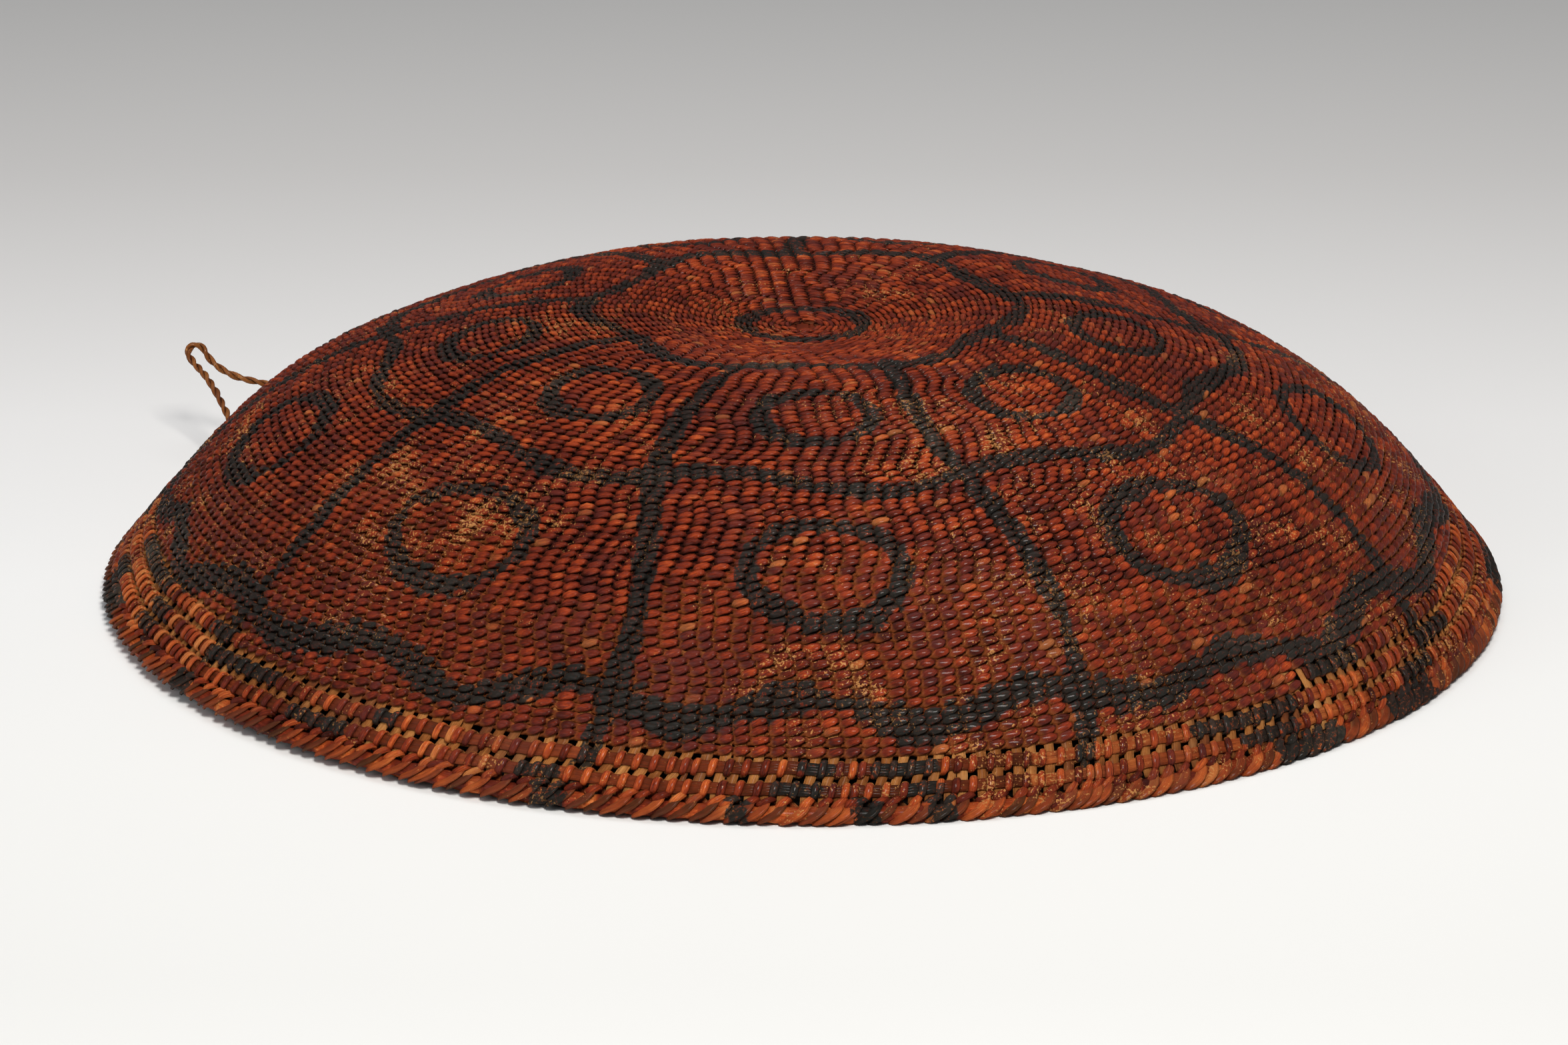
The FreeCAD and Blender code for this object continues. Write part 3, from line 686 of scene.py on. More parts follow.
# ------------------------------------------------------------------ build the close weave
s_plain = M_S
zone_s = np.interp([20.0, 60.0, 112.0, 160.0], R_F, S_F)
cuts = [0] + [int(np.argmax(M_S > z)) for z in zone_s] + [int(np.argmax(M_S > ARC - D_BODY + 0.5)), NM]
zone_nodes = ["weft_start", "weft_crown", "weft_shoulder", "weft_upper_side", "weft_lower_side", "weft_front_rows"]
for zn, (m0, m1) in zip(zone_nodes, zip(cuts, cuts[1:])):
    parts = max(1, int(math.ceil((m1 - m0) / 1330)))
    lim = np.linspace(m0, m1, parts + 1).astype(int)
    for p in range(parts):
        a, b = lim[p], lim[p + 1]
        bld = Build()
        # one crossing of overlap keeps the strands whole across the joint between pieces
        strand(bld, max(a - 1, 0) if p or m0 else a, b, 0)
        strand(bld, max(a - 1, 0) if p or m0 else a, b, 1)
        bld.make(zn + ("_%s" % "abcdef"[p] if parts > 1 else "") + "_strands", M_WEFT, zn)

# ------------------------------------------------------------------ warps
WARP_OUT = ARC - 6.6
for name, lo, hi in (("warps_first", 0, 34), ("warps_added_crown", 34, 68), ("warps_added_shoulder", 68, 136),
                     ("warps_added_side", 136, 272)):
    bld = Build()
    for j in np.where((RANK >= lo) & (RANK < hi))[0]:
        s_in = float(np.interp(max(R_IN[j], 4.0), R_F, S_F)) - (4.0 if R_IN[j] > 8 else 0.0)
        s = np.linspace(max(s_in, 4.0), WARP_OUT, max(6, int((WARP_OUT - s_in) / 3.2)))
        th = warp_theta(j, s)
        r = np.interp(s, S_F, R_F)
        i = s.astype(int)
        share = W_GRID[i, j] / W_GRID[i].sum(1) * TAU * r
        w = np.clip(share * 0.66, 0.5, 2.95 + 0.25 * (hash01(j, 61) - 0.5))
        th = th + (hash01(j, 62) - 0.5) * 0.0015 * np.clip((s - (ARC - 40)) / 20, 0, 1)
        w = w * (1 + 0.05 * np.sin(s / 5.0 + 9 * hash01(j, 63)))
        tk = np.full_like(s, 0.70)
        sec = np.array([(-0.5, -0.5), (-0.5, 0.32), (0.0, 0.62), (0.5, 0.32), (0.5, -0.5), (0.0, -0.42)])
        off = MID + tk[:, None] * sec[None, :, 1]
        dth = w[:, None] * sec[None, :, 0] / np.maximum(r, 3.0)[:, None]
        # rings run so that the faces look outward
        P = place(th[:, None] + dth, s[:, None], off)[:, ::-1]
        sdv = np.clip((paint_at(P[..., 0], P[..., 1]) + 4) / 8, 0, 1)
        sdv = np.where(sec[::-1, 1][None, :] < 0, 1.0, sdv)
        one = np.ones_like(sdv)
        A = np.stack([hash01(j, 64) * one, hash01(j, 65) * one, sdv, 0.7 * one], -1)
        B = np.stack([(s / 18.0)[:, None] * one, (sec[::-1, 0] * 0.5 + 0.5)[None, :] * one, 0 * one, (s / 250)[:, None] * one], -1)
        bld.tube(P, A, B)
    bld.make(name + "_splints", M_WARP, name)

# ------------------------------------------------------------------ border rows
def near_runs(theta, runs):
    """Distance (mm at the rim) to the nearest black run, negative inside; runs are (from, to) in degrees."""
    t = np.degrees(np.asarray(theta)) % 360.0
    d = np.full(np.shape(t), 60.0)
    for a, b in runs:
        c, h = ((a + b) / 2) % 360.0, (b - a) / 2
        g = np.abs((t - c + 180) % 360 - 180) - h
        d = np.minimum(d, g * 3.55)
    return d


BLACK = {
    "upper": [(-148, -137.7), (-126.7, -124.2), (-90.4, -87.4), (-84.9, -79.5), (-57.5, -46.3), (-27, -21.5), (12, 17),
              (38, 43), (66, 69), (84, 90), (118, 124), (139, 142), (170, 176), (199, 203)],
    "lower": [(-161.3, -158.3), (-134.8, -128.4), (-112.7, -109), (-92.7, -88.6), (-82, -79.5), (-53.4, -47.2), (-33, -28),
              (4, 9), (48, 52), (73, 80), (100, 103), (128, 134), (152, 155), (182, 188)],
    "third": [(-174, -159.3), (-149.1, -146.8), (-43.4, -37.1), (22, 28), (58, 62), (92, 97), (110, 113), (146, 151), (190, 194)],
    "braid": [(-150, -147), (-111.2, -108.3), (-96, -94.2), (-86.3, -84.3), (-80.8, -78.6), (-50.8, -43.4), (-37.1, -29.7),
              (-6, 5), (30, 36), (64, 70), (96, 99), (121, 129), (160, 166), (184, 190), (-171, -167)],
}


def rim_paint(key, theta, P):
    d = near_runs(theta, BLACK[key])
    d = d + 0.9 * np.sin(P[..., 0] * 1.3) * np.sin(P[..., 1] * 1.1 + P[..., 2])
    if key in ("upper", "third"):
        d = np.minimum(d, paint_at(P[..., 0], P[..., 1]) + 0.4)
    return np.clip((d + 4) / 8, 0, 1)


def border_row(key, dist, a0, a1, whole):
    s0 = ARC - dist
    j = np.arange(WARPS)
    th = np.array([warp_theta(q, s0) for q in j])
    if not whole:
        keep = ((th - a0) % TAU) < (a1 - a0)
        first = np.argmin(np.where(keep, (th - a0) % TAU, 99))
        ids = [(first + q) % WARPS for q in range(int(keep.sum()))]
    else:
        ids = list(j)
    th = np.unwrap(th[ids])
    n = len(th)
    p = TAU / WARPS
    # the band: a flat cane with a split along it, drawn in a little between the warps
    bld = Build()
    k = n * 4
    u = np.arange(k) / 4.0
    nxt = np.append(th[1:], th[0] + TAU if whole else th[-1] + p)
    base = np.repeat(th, 4)
    tt = base + (u % 1.0) * np.repeat(nxt - th, 4)
    wave = np.cos(TAU * u)
    slow = 0.30 * np.sin(tt * 23.0 + dist) + 0.22 * np.sin(tt * 61.0 + 2.0 * dist)
    sec = np.array([(-0.5, -0.45), (-0.52, 0.28), (-0.10, 0.52), (-0.02, 0.10), (0.06, 0.50), (0.50, 0.34), (0.5, -0.45)])
    wd = 3.35 * (1 + 0.06 * np.sin(tt * 37.0 + dist))
    off = (-0.74 + 0.13 * wave)[:, None] + 0.75 * sec[None, :, 1]
    ds = (slow + 0.0)[:, None] + wd[:, None] * sec[None, :, 0]
    P = place(tt[:, None], s0, off, ds)
    one = np.ones(P.shape[:2])
    num = np.floor(u).astype(int)
    A = np.stack([hash01(num // 9, 71)[:, None] * one, hash01(num // 9, 72)[:, None] * one, rim_paint(key, tt[:, None] * one, P), 0.68 * one], -1)
    B = np.stack([(u / 3.0)[:, None] * one, (sec[:, 0] + 0.5)[None, :] * one, 0 * one, 0.9 * one], -1)
    bld.tube(P, A, B, closed=whole)
    bld.make("border_band_%s_cane" % key, M_BAND, "border_band_" + key)
    # the lashing: one bean-shaped turn between each pair of warps, then behind the next warp
    bld = Build()
    per = 16
    q = np.arange(n * per + 1) / per
    g = np.minimum(np.floor(q).astype(int), n - 1)
    f = q - g
    # outer pass takes the first half of the turn, from below to above
    outer = f < 0.5
    w = np.where(outer, f / 0.5, (f - 0.5) / 0.5)
    mid_gap = th + 0.5 * (nxt - th)
    lean = 0.30
    drift = np.where(outer, -lean / 2 + lean * w, lean / 2 + (1 - lean) * w)
    tt = mid_gap[g] + drift * p
    phi = math.pi * w + np.where(outer, 0.0, math.pi)
    jit = hash01(g, 73) - 0.5
    cn = np.sin(phi)                     # +1 outside, -1 inside
    cs = np.cos(phi)                     # +1 below (down the slope) at the start, -1 above
    hh = 2.12 * (1 + 0.12 * jit)
    nn = -1.10 + 1.36 * np.sign(cn) * np.abs(cn) ** 0.62
    ss = hh * np.sign(cs) * np.abs(cs) ** 0.85 + 0.30 * np.sin(mid_gap[g] * 23.0 + dist)
    # tangent in the (n, s) plane gives the frame of the flat strand
    dn, dsv = np.gradient(nn), np.gradient(ss)
    ln = np.hypot(dn, dsv) + 1e-9
    tn, ts = dn / ln, dsv / ln
    # outward normal of the path in that plane: away from the middle of the turn
    on, os_ = -ts, tn
    flip = np.sign(on * (nn + 1.10) + os_ * ss + 1e-9)
    on, os_ = on * flip, os_ * flip
    a_ang = np.radians(np.array([0.0, 52.0, 90.0, 128.0, 180.0, 240.0, 300.0]))
    wide = 1.22 * (1 + 0.14 * (hash01(g, 74) - 0.5)) * np.where(outer, 0.82 + 0.18 * np.sin(math.pi * w), 0.80)
    thick = 0.56
    ex = np.cos(a_ang)[None, :] * wide[:, None]
    ey = np.sin(a_ang)[None, :] * thick
    off = nn[:, None] + ey * on[:, None]
    ds = ss[:, None] + ey * os_[:, None]
    dth = ex / RIM_R
    P = place(tt[:, None] + dth, s0, off, ds)
    one = np.ones(P.shape[:2])
    # outer passes stand higher: the material paints the inner passes darker as painted shade
    high = np.clip((off + 2.4) / 2.9, 0, 1) * 0.6 + 0.35
    A = np.stack([hash01(g, 75)[:, None] * one, hash01(g, 76)[:, None] * one, rim_paint(key, tt[:, None] * one, P), high], -1)
    B = np.stack([np.where(outer, 1 - w, 0.5)[:, None] * one, (a_ang / TAU)[None, :] * one, np.where(outer, 1.0, 0.0)[:, None] * one, 0.9 * one], -1)
    bld.tube(P, A, B, closed=False)
    bld.make("border_lashing_%s_cane" % key, M_LASH, "border_lashing_" + key)


border_row("upper", 16.5, 0, TAU, True)
border_row("lower", 10.3, 0, TAU, True)
border_row("third", 22.9, TH_A, TH_B, False)


# ------------------------------------------------------------------ plaited edge
def blades(bld, v_th, v_s, v_off, width, thick, tilt, base_th, mirror, salt, z_min=0.0, tone=0.6):
    """One flat splint per warp, swept along the edge. v_* are the path from the warp's end."""
    p = TAU / WARPS
    K = len(v_th)
    jt = hash01(np.arange(WARPS), salt)[:, None]
    th = base_th[:, None] + mirror * (np.array(v_th)[None, :] * (0.94 + 0.12 * jt)) * p
    s = ARC + np.array(v_s)[None, :] + 0.35 * (jt - 0.5)
    off = np.array(v_off)[None, :] + 0.25 * (hash01(np.arange(WARPS), salt + 1)[:, None] - 0.5)
    # direction of travel on the surface
    gx = np.gradient(th, axis=1) * RIM_R
    gy = np.gradient(s, axis=1)
    ln = np.hypot(gx, gy) + 1e-9
    tx, ty = gx / ln, gy / ln
    # across the blade, on the surface: turned a quarter from the travel, pointing down the slope
    ax, ay = -ty * mirror * -1.0, tx * mirror * -1.0
    sgn = np.where(ay >= 0, 1.0, -1.0)
    ax, ay = ax * sgn, ay * sgn
    sec = np.array([(-0.5, -0.35), (-0.42, 0.22), (-0.10, 0.52), (0.30, 0.46), (0.54, 0.05), (0.34, -0.45)])
    taper = np.interp(np.linspace(0, 1, K), [0, 0.2, 0.72, 1], [0.85, 1.0, 0.95, 0.5])[None, :, None]
    w = width * sec[None, None, :, 0] * taper * (0.92 + 0.16 * jt[..., None])
    h = thick * sec[None, None, :, 1]
    ct, st = math.cos(math.radians(tilt)), math.sin(math.radians(tilt))
    a = w * ct - h * st
    n = w * st + h * ct
    TH = th[..., None] + ax[..., None] * a / RIM_R
    S_ = s[..., None] + ay[..., None] * a
    P = place(TH, S_, off[..., None] + n)
    P[..., 2] = np.maximum(P[..., 2], z_min + 0.12 * sec[None, None, :, 1] + 0.1)
    # the section runs clockwise or the other way with the travel, so the faces look outward
    order = slice(None) if mirror > 0 else slice(None, None, -1)
    P = P[:, :, order]
    one = np.ones(P.shape[:3])
    faces = np.array([0.0, 0.15, 0.45, 1.0, 1.0, 0.9])[order]
    # the fourth value is the height that the material paints as shade: the upper face of each splint a little lighter,
    # the lower face darker
    A = np.stack([jt[..., None] * one, hash01(np.arange(WARPS), salt + 2)[:, None, None] * one,
                  rim_paint("braid", TH[:, :, order], P), (tone + 0.1 * sec[order, 1])[None, None, :] * one], -1)
    B = np.stack([np.linspace(0.2, 1.0, K)[None, :, None] * one, (sec[order, 0] + 0.5)[None, None, :] * one,
                  (1 - faces)[None, None, :] * 0.55 * one, 0.95 * one], -1)
    bld.tubes(P, A, B)


def knuckles(bld):
    """Where each warp bends at the top of the plait, a small rounded turn of the next warp's end lies over it."""
    n, per = WARPS, 10
    th = np.unwrap(np.array([warp_theta(q, WARP_OUT) for q in range(WARPS)]))
    a = np.radians(np.linspace(-150, 150, per))
    sec = np.radians(np.arange(0, 360, 60.0))
    jt = hash01(np.arange(n), 141)
    hh = 1.25 * (0.8 + 0.5 * jt)
    nn = -0.85 + 1.15 * np.cos(a)[None, :] * np.ones((n, 1))
    ss = -6.7 + 0.5 * (jt[:, None] - 0.5) + hh[:, None] * np.sin(a)[None, :]
    tt = th[:, None] + (0.10 - 0.42 * np.sin(a)[None, :] * (0.7 + 0.6 * hash01(np.arange(n), 142)[:, None])) * TAU / WARPS
    fat = (0.66 + 0.25 * np.cos(a) ** 2)[None, :, None] * (0.9 + 0.3 * hash01(np.arange(n), 143))[:, None, None]
    # the section lies across the turn: partly along the rim and partly along the radius of the turn
    ex = 1.45 * fat * np.cos(sec)[None, None, :]
    er = 0.80 * fat * np.sin(sec)[None, None, :]
    off = nn[..., None] + er * np.cos(a)[None, :, None]
    s_ = ARC + ss[..., None] + er * np.sin(a)[None, :, None] + ex * 0.42
    P = place(tt[..., None] + ex * 0.8 / RIM_R, s_, off)
    one = np.ones(P.shape[:3])
    A = np.stack([jt[:, None, None] * one, hash01(np.arange(n), 144)[:, None, None] * one, rim_paint("braid", tt[..., None] * one, P), 0.85 * one], -1)
    B = np.stack([np.linspace(0.15, 1, per)[None, :, None] * one, (sec / TAU)[None, None, :] * one,
                  0.30 * (jt > 0.55)[:, None, None] * one, 0.95 * one], -1)
    bld.tubes(P, A, B)


p_rim = TAU / WARPS
th_end = np.array([warp_theta(q, WARP_OUT) for q in range(WARPS)])
bld = Build()
# outside: down from the warp and away to the lower left, each over the foot of the last
blades(bld, [0.12, 0.10, 0.04, -0.10, -0.32, -0.60, -0.92, -1.20, -1.42],
       [-8.0, -7.0, -5.8, -4.6, -3.5, -2.6, -1.9, -1.4, -1.2],
       [-1.3, -0.65, -0.10, 0.18, 0.28, 0.16, -0.22, -0.95, -1.95], 2.95, 1.0, 25.0, th_end, 1.0, 101)
# inside: the ends carry on under the edge and away to the other side
blades(bld, [0.20, 0.05, -0.30, -0.80, -1.40, -2.00, -2.50],
       [-8.6, -7.4, -5.9, -4.6, -3.6, -2.9, -2.6],
       [-2.6, -3.4, -3.9, -4.0, -3.9, -3.5, -2.9], 2.7, 0.8, -20.0, th_end + 0.5 * p_rim, -1.0, 111)
# the core that the ends are plaited round
knuckles(bld)
k = WARPS * 3
tt = THETA0 + TAU * np.arange(k) / k
ang = np.radians(np.arange(0, 360, 45.0))[::-1]
rad = 1.62 + 0.16 * np.sin(tt * WARPS / 2)
off = -1.45 + rad[:, None] * np.cos(ang)[None, :]
ds = -3.75 + rad[:, None] * np.sin(ang)[None, :] * 1.45
P = place(tt[:, None], ARC, off, ds)
P[..., 2] = np.maximum(P[..., 2], 0.15)
one = np.ones(P.shape[:2])
A = np.stack([hash01(np.arange(k) // 3, 121)[:, None] * one, hash01(np.arange(k) // 3, 122)[:, None] * one,
              rim_paint("braid", tt[:, None] * one, P), 1.0 * one], -1)
B = np.stack([(np.arange(k) / 3.0 % 1)[:, None] * one, (ang / TAU)[None, :] * one, 0 * one, 0.95 * one], -1)
bld.tube(P, A, B, closed=True)
bld.make("edge_braid_cane", M_EDGE, "edge_braid")

# ------------------------------------------------------------------ cord
ROUTE = [(-178.07, 98.71, 13.65), (-181.74, 107.40, 18.08), (-186.16, 117.40, 22.86), (-190.39, 125.68, 26.08),
         (-194.24, 131.18, 28.10), (-196.87, 134.60, 30.33), (-195.61, 136.80, 32.79), (-192.16, 137.60, 32.22),
         (-190.45, 136.40, 28.68), (-186.83, 134.67, 25.72), (-181.05, 133.20, 22.85), (-173.17, 133.75, 21.07),
         (-161.88, 134.27, 17.04), (-151.30, 136.24, 13.65)]
cu = bpy.data.curves.new("cord_line", "CURVE")
cu.dimensions = "3D"
sp = cu.splines.new("NURBS")
sp.points.add(len(ROUTE) - 1)
for pt, co in zip(sp.points, ROUTE):
    pt.co = (co[0] * MM, co[1] * MM, co[2] * MM, 1.0)
sp.order_u = 3
sp.use_endpoint_u = True
sp.resolution_u = 24
line = bpy.data.objects.new("cord_line", cu)
bpy.context.scene.collection.objects.link(line)
bpy.context.view_layer.update()
lm = bpy.data.meshes.new_from_object(line)
raw = np.zeros(len(lm.vertices) * 3)
lm.vertices.foreach_get("co", raw)
raw = raw.reshape(-1, 3) / MM
bpy.data.objects.remove(line)
bpy.data.meshes.remove(lm)
bpy.data.curves.remove(cu)


def along(points, step):
    """The same line read off at even distances, with a frame carried along it."""
    d = np.concatenate([[0], np.cumsum(np.linalg.norm(np.diff(points, axis=0), axis=1))])
    keep = np.concatenate([[True], np.diff(d) > 1e-6])
    d, points = d[keep], points[keep]
    q = np.linspace(0, d[-1], int(d[-1] / step) + 1)
    c = np.stack([np.interp(q, d, points[:, i]) for i in range(3)], -1)
    t = np.gradient(c, axis=0)
    t /= np.linalg.norm(t, axis=1)[:, None]
    u = np.zeros_like(t)
    v0 = np.cross(t[0], (0, 0, 1.0))
    u[0] = v0 / np.linalg.norm(v0)
    for i in range(1, len(t)):
        w = u[i - 1] - t[i] * (u[i - 1] @ t[i])
        u[i] = w / np.linalg.norm(w)
    return q, c, t, u, np.cross(t, u)


def ply_tube(bld, c, t, u, v, phase, lead, off_r, ply_r, salt, n=9, sq=0.9):
    """One ply: it winds round the line c at off_r; its own section is a slightly flat circle."""
    a = phase
    o = np.cos(a)[:, None] * u + np.sin(a)[:, None] * v
    m = c + off_r * o
    tt = np.gradient(m, axis=0)
    tt /= np.linalg.norm(tt, axis=1)[:, None]
    o = o - tt * np.sum(o * tt, 1)[:, None]
    o /= np.linalg.norm(o, axis=1)[:, None]
    w = np.cross(tt, o)
    g = np.radians(np.arange(n) * 360.0 / n)
    P = m[:, None] + ply_r[:, None, None] * (np.cos(g)[None, :, None] * o[:, None] * sq + np.sin(g)[None, :, None] * w[:, None])
    one = np.ones(P.shape[:2])
    q = np.arange(len(c)) * lead
    # fourth value: the material paints each ply lighter on its outer side and darker on its inner side, as painted
    # shade
    A = np.stack([0.35 * one + 0.3 * salt, (0.3 + 0.2 * salt) * one, one, (0.62 + 0.38 * np.cos(g))[None, :] * one * 0.6 + 0.25], -1)
    B = np.stack([(q * 0.08)[:, None] * one, (g / TAU)[None, :] * one, 0 * one, 0.5 * one], -1)
    bld.tube(P, A, B)


q, c, t, u, v = along(raw, 0.42)
cord_len = q[-1]
bld = Build()
twist = TAU * q / 9.2 + 0.5 * np.sin(q / 7.0)
fray = 1.0 + 0.05 * np.sin(q / 3.1) + 0.04 * np.sin(q / 1.7 + 1.0)
for k in (0, 1):
    ply_tube(bld, c, t, u, v, twist + math.pi * k, 0.42, 0.58, 0.70 * fray * (1.04 if k else 0.97), k)
cord_ob = bld.make("cord_loop_plies", M_CORD, "cord_loop", body="cord")
print("cord mm", round(cord_len, 2))


# ------------------------------------------------------------------ knots that hold the cord's ends
def coil(bld, centre, axis, turns, radius, rise, r, salt, squash=1.0, per=22):
    ax = np.array(axis, float)
    ax /= np.linalg.norm(ax)
    e = np.cross(ax, (0.3, 0.2, 1.0))
    e /= np.linalg.norm(e)
    f = np.cross(ax, e)
    n = int(turns * per)
    a = np.linspace(0, TAU * turns, n + 1)
    c = (np.array(centre)[None] + radius * (np.cos(a)[:, None] * e + squash * np.sin(a)[:, None] * f)
         + (np.linspace(-0.5, 0.5, n + 1) * rise)[:, None] * ax)
    t = np.gradient(c, axis=0)
    t /= np.linalg.norm(t, axis=1)[:, None]
    o = np.cos(a)[:, None] * e + np.sin(a)[:, None] * f
    o = o - t * np.sum(o * t, 1)[:, None]
    o /= np.linalg.norm(o, axis=1)[:, None]
    ply_tube(bld, c, t, o, np.cross(t, o), np.zeros(len(c)), 0.4, 0.0, np.full(len(c), r), salt, n=8, sq=0.75)


for node, end, nxt in (("cord_tie_left", ROUTE[0], ROUTE[1]), ("cord_tie_rear", ROUTE[-1], ROUTE[-2])):
    lo, hi = (np.array(b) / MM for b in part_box(node))
    cen, size = (lo + hi) / 2, hi - lo
    d = np.array(nxt) - np.array(end)
    d /= np.linalg.norm(d)
    bld = Build()
    rr = float(np.sort(size)[0]) / 2
    e0 = np.array(end)
    # the whipping round the cord's foot, then turns round the border behind it
    coil(bld, e0 - d * 0.6, d, 3.4, 1.75, 3.2, 0.62, 0)
    th0 = math.atan2(cen[1], cen[0])
    tv, dv, nv = axes_at(th0, ARC - 14.0)
    coil(bld, cen - nv * 0.6, tv, 2.4, max(2.0, rr * 0.72), 3.0, 0.66, 1, squash=1.25)
    coil(bld, cen - nv * 0.4 + dv * 0.5, dv, 1.6, max(1.8, rr * 0.6), 2.0, 0.6, 0)
    bld.make(node + "_whipping", M_CORD, node)

# ------------------------------------------------------------------ head ring: an oval hoop woven of cane
lo, hi = (np.array(b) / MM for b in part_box("head_ring"))
AX, AY = (hi[0] - lo[0]) / 2 - 1.3, (hi[1] - lo[1]) / 2 - 1.3
CX, CY = (hi[0] + lo[0]) / 2, (hi[1] + lo[1]) / 2
_a = np.linspace(0, TAU, 3601)
_ex, _ey = AX * np.cos(_a), AY * np.sin(_a)
_es = np.concatenate([[0], np.cumsum(np.hypot(np.diff(_ex), np.diff(_ey)))])
PERIM = _es[-1]


def on_oval(arc, out, z):
    a = np.interp(np.mod(arc, PERIM), _es, _a)
    n = np.stack([np.cos(a) / AX, np.sin(a) / AY], -1)
    n /= np.linalg.norm(n, axis=-1)[..., None]
    return np.stack([CX + AX * np.cos(a) + out * n[..., 0], CY + AY * np.sin(a) + out * n[..., 1], z + 0 * a], -1)


STAKES = 110
rows = 11
bld = Build()
top, low = hi[2], lo[2]
pitch_z = (top - low - 1.2) / rows
g = np.radians(np.array([90.0, 40.0, 0.0, -40.0, -90.0, -140.0, 180.0, 140.0]))
for k in range(rows):
    n = STAKES * 4
    arc = PERIM * np.arange(n) / n
    wav = 0.42 * np.cos(math.pi * (np.arange(n) / 4.0) + math.pi * (k % 2))
    zc = low + 0.6 + pitch_z * (k + 0.5) + 0.12 * np.sin(arc / 23.0 + k)
    half = pitch_z * 0.5
    P = on_oval(arc[:, None] + 0 * g[None, :], wav[:, None] + 0.62 * np.cos(g)[None, :], zc[:, None] + half * np.sin(g)[None, :])
    one = np.ones(P.shape[:2])
    num = np.arange(n) // 4
    # fourth value: the weaver is painted lighter where it passes out over a stake and darker where it dips in, as
    # painted shade
    A = np.stack([hash01(num // 6 + 57 * k, 131)[:, None] * one, hash01(num + 91 * k, 132)[:, None] * one, one,
                  (0.5 + 0.9 * wav)[:, None] * one], -1)
    B = np.stack([(arc / 9.0)[:, None] * one, (g / TAU)[None, :] * one, 0 * one, 0.3 * one], -1)
    bld.tube(P, A, B, closed=True)
# the stakes stand between the rows
for i in range(STAKES):
    arc = PERIM * (i + 0.0) / STAKES
    z = np.linspace(low + 0.35, top - 0.35, 26)
    wv = -0.55 * np.cos(math.pi * i) * np.cos(math.pi * (z - low - 0.6) / pitch_z - math.pi / 2)
    sec = np.array([(-1.1, -0.22), (-1.1, 0.22), (0, 0.34), (1.1, 0.22), (1.1, -0.22), (0, -0.30)])
    P = on_oval(arc + sec[None, :, 0] + 0 * z[:, None], wv[:, None] * 0.6 + sec[None, :, 1], z[:, None] + 0 * sec[None, :, 0])
    one = np.ones(P.shape[:2])
    A = np.stack([hash01(i, 133) * one, hash01(i, 134) * one, one, 0.7 * one], -1)
    B = np.stack([(z / 14.0)[:, None] * one, (sec[:, 0] / 2.2 + 0.5)[None, :] * one, 0 * one, 0.3 * one], -1)
    bld.tube(P, A, B)
bld.make("head_ring_woven", M_RING, "head_ring")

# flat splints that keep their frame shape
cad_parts["start_splints_lengthwise"].data.materials.clear()
DYED = [(0.0, (44, 16, 10)), (0.4, (78, 28, 15)), (0.75, (112, 44, 22)), (1.0, (150, 72, 36))]
M_SX = wood("start_splint_x", DYED, "x")
M_SY = wood("start_splint_y", DYED, "y")
for node, m in (("start_splints_lengthwise", M_SX), ("start_splints_crosswise", M_SY)):
    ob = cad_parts[node]
    if not ob.data.materials:
        ob.data.materials.append(m)
    for sl in ob.material_slots:
        sl.material = m

# head ring ties: each a doubled strand from the hoop up through the weave
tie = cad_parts["head_ring_ties"]
tv3 = np.array([tie.matrix_world @ x.co for x in tie.data.vertices]) / MM
ang_t = np.degrees(np.arctan2(tv3[:, 1], tv3[:, 0])) % 360
groups, order = [], np.argsort(ang_t)
cur = [order[0]]
for a_, b_ in zip(order, order[1:]):
    if ang_t[b_] - ang_t[a_] > 12:
        groups.append(cur)
        cur = []
    cur.append(b_)
groups.append(cur)
if len(groups) > 1 and ang_t[groups[0][0]] + 360 - ang_t[groups[-1][-1]] < 12:
    groups[0] = groups.pop() + groups[0]
bld = Build()
for gi, gr in enumerate(groups):
    pts = tv3[gr]
    lo_, hi_ = pts.min(0), pts.max(0)
    cc = (lo_ + hi_) / 2
    d = np.array([cc[0], cc[1], 0.0])
    d /= np.linalg.norm(d)
    tang = np.array([-d[1], d[0], 0.0])
    half_z = (hi_[2] - lo_[2]) / 2 - 0.7
    wide_d = max(abs((pts - cc) @ d)) - 0.7
    span = max(abs((pts - cc) @ tang)) - 0.7
    n = 110
    a = np.linspace(0, TAU * 3.0, n)
    c = (cc[None] + (wide_d * np.cos(a))[:, None] * d + (half_z * np.sin(a))[:, None] * np.array([0, 0, 1.0])
         + (np.linspace(-0.9, 0.9, n) * span)[:, None] * tang)
    t_ = np.gradient(c, axis=0)
    t_ /= np.linalg.norm(t_, axis=1)[:, None]
    o = np.cross(t_, tang)
    o /= np.linalg.norm(o, axis=1)[:, None]
    ply_tube(bld, c, t_, o, np.cross(t_, o), np.zeros(n), 0.4, 0.0, np.full(n, 0.68), gi % 2, n=8, sq=0.7)
bld.make("head_ring_ties_lashing", M_RING, "head_ring_ties")
print("ties", len(groups))

# ------------------------------------------------------------------ floor, light, camera
def sweep():
    """A wide, pale, level floor, open on every side."""
    prof = [(v, 0.0) for v in np.linspace(-9.0, 9.0, 13)]
    xs = np.linspace(-9.0, 9.0, 13)
    verts, faces = [], []
    for y, z in prof:
        for x in xs:
            verts.append((x, y, z - 0.0002))
    w = len(xs)
    for i in range(len(prof) - 1):
        for k in range(w - 1):
            faces.append((i * w + k, i * w + k + 1, (i + 1) * w + k + 1, (i + 1) * w + k))
    me = bpy.data.meshes.new("floor")
    me.from_pydata(verts, [], faces)
    for p in me.polygons:
        p.use_smooth = True
    ob = bpy.data.objects.new("floor", me)
    bpy.context.scene.collection.objects.link(ob)
    return ob


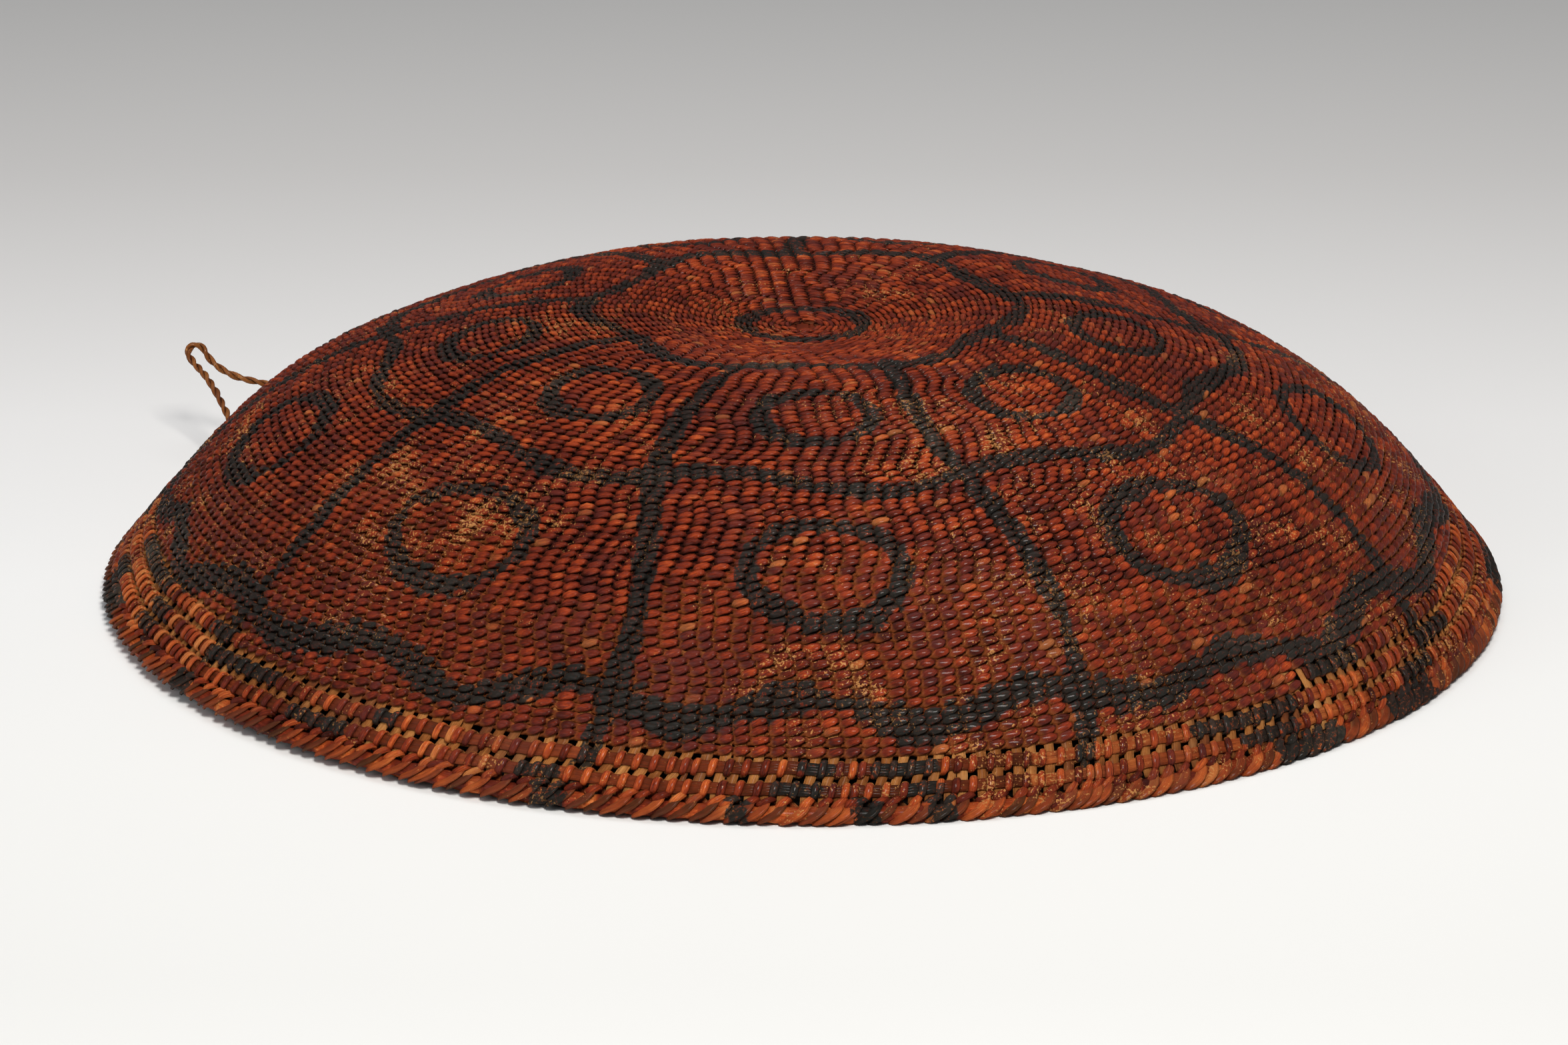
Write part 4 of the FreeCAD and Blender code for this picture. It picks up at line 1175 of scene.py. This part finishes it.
floor = sweep()
F = Shader("floor_paper")
sep = F.t.nodes.new("ShaderNodeSeparateXYZ")
F.t.links.new(F.obj, sep.inputs[0])
# painted light: the floor is painted brightest across the hat's place and darker nearer the camera and farther back, as
# light falls off
far = F.math("MULTIPLY_ADD", sep.outputs[1], 1.0 / 1.6, 0.5)
FLOOR_LIGHT_FALLOFF_STOPS = [(0.0, lin(212, 212, 210)), (0.3, lin(220, 220, 218)), (0.4, lin(232, 232, 230)), (0.5, lin(240, 240, 239)), (0.6, lin(240, 239, 238)), (0.8, lin(220, 218, 216)), (1.0, lin(208, 207, 205))]
tone = F.ramp(far, FLOOR_LIGHT_FALLOFF_STOPS)
speck = F.noise(14.0, 4.0)
tone = F.mix(F.math("MULTIPLY", speck, 0.03), tone, lin(200, 200, 198))
# painted shadow: the floor is painted dark under the hat, where the closed hat keeps it in shade
rr = F.math("SQRT", F.math("ADD", F.math("MULTIPLY", sep.outputs[0], sep.outputs[0]), F.math("MULTIPLY", sep.outputs[1], sep.outputs[1])))
tone = F.mix(F.step(rr, 0.2045, 0.198), tone, lin(46, 42, 38))
F.finish(tone, 0.65, 0.25)
floor.data.materials.append(F.mat)
floor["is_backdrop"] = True


def area(name, loc, target, size, size_y, watts, color=(1, 1, 1)):
    li = bpy.data.lights.new(name, "AREA")
    li.shape, li.size, li.size_y, li.energy, li.color = "RECTANGLE", size, size_y, watts, color
    ob = bpy.data.objects.new(name, li)
    ob.location = loc
    ob.rotation_euler = (Vector(target) - Vector(loc)).to_track_quat("-Z", "Y").to_euler()
    bpy.context.scene.collection.objects.link(ob)
    return ob


area("key", (0.18, -1.14, 1.27), (0.0, 0.0, 0.03), 0.45, 0.45, 27.0, (1.0, 0.975, 0.94))
area("top", (-0.1, 0.35, 1.7), (0.0, 0.0, 0.0), 1.5, 1.0, 7.6, (0.98, 0.99, 1.0))
area("fill", (-1.3, -1.1, 0.8), (0.0, 0.0, 0.03), 1.2, 0.9, 7.2, (0.97, 0.985, 1.0))
world = bpy.data.worlds.new("studio")
bpy.context.scene.world = world
world.use_nodes = True
bg = world.node_tree.nodes.get("Background") or world.node_tree.nodes.new("ShaderNodeBackground")
bg.inputs[0].default_value = (0.90, 0.93, 1.0, 1.0)
bg.inputs[1].default_value = 0.16

cam = bpy.data.cameras.new("camera")
cam.sensor_fit, cam.sensor_width, cam.lens = "HORIZONTAL", 36.0, 143.87
cam.clip_start, cam.clip_end = 0.05, 20.0
cam_ob = bpy.data.objects.new("camera", cam)
R_ = Vector((0.999999, 0.00034, 0.001037)).normalized()
U_ = Vector((-0.00109, 0.31196, 0.95009)).normalized()
B_ = R_.cross(U_).normalized()
U_ = B_.cross(R_)
cam_ob.matrix_world = Matrix(((R_.x, U_.x, B_.x, -5.464 * MM), (R_.y, U_.y, B_.y, -1790.389 * MM),
                              (R_.z, U_.z, B_.z, 605.719 * MM), (0, 0, 0, 1)))
bpy.context.scene.collection.objects.link(cam_ob)
bpy.context.scene.camera = cam_ob
bpy.context.scene.view_settings.view_transform = "Standard"

total = 0
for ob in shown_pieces():
    if ob.type == "MESH":
        k = sum(len(p.vertices) - 2 for p in ob.data.polygons)
        total += k
        print("tris", ob.name, k)
print("total tris", total)
bpy.context.view_layer.update()
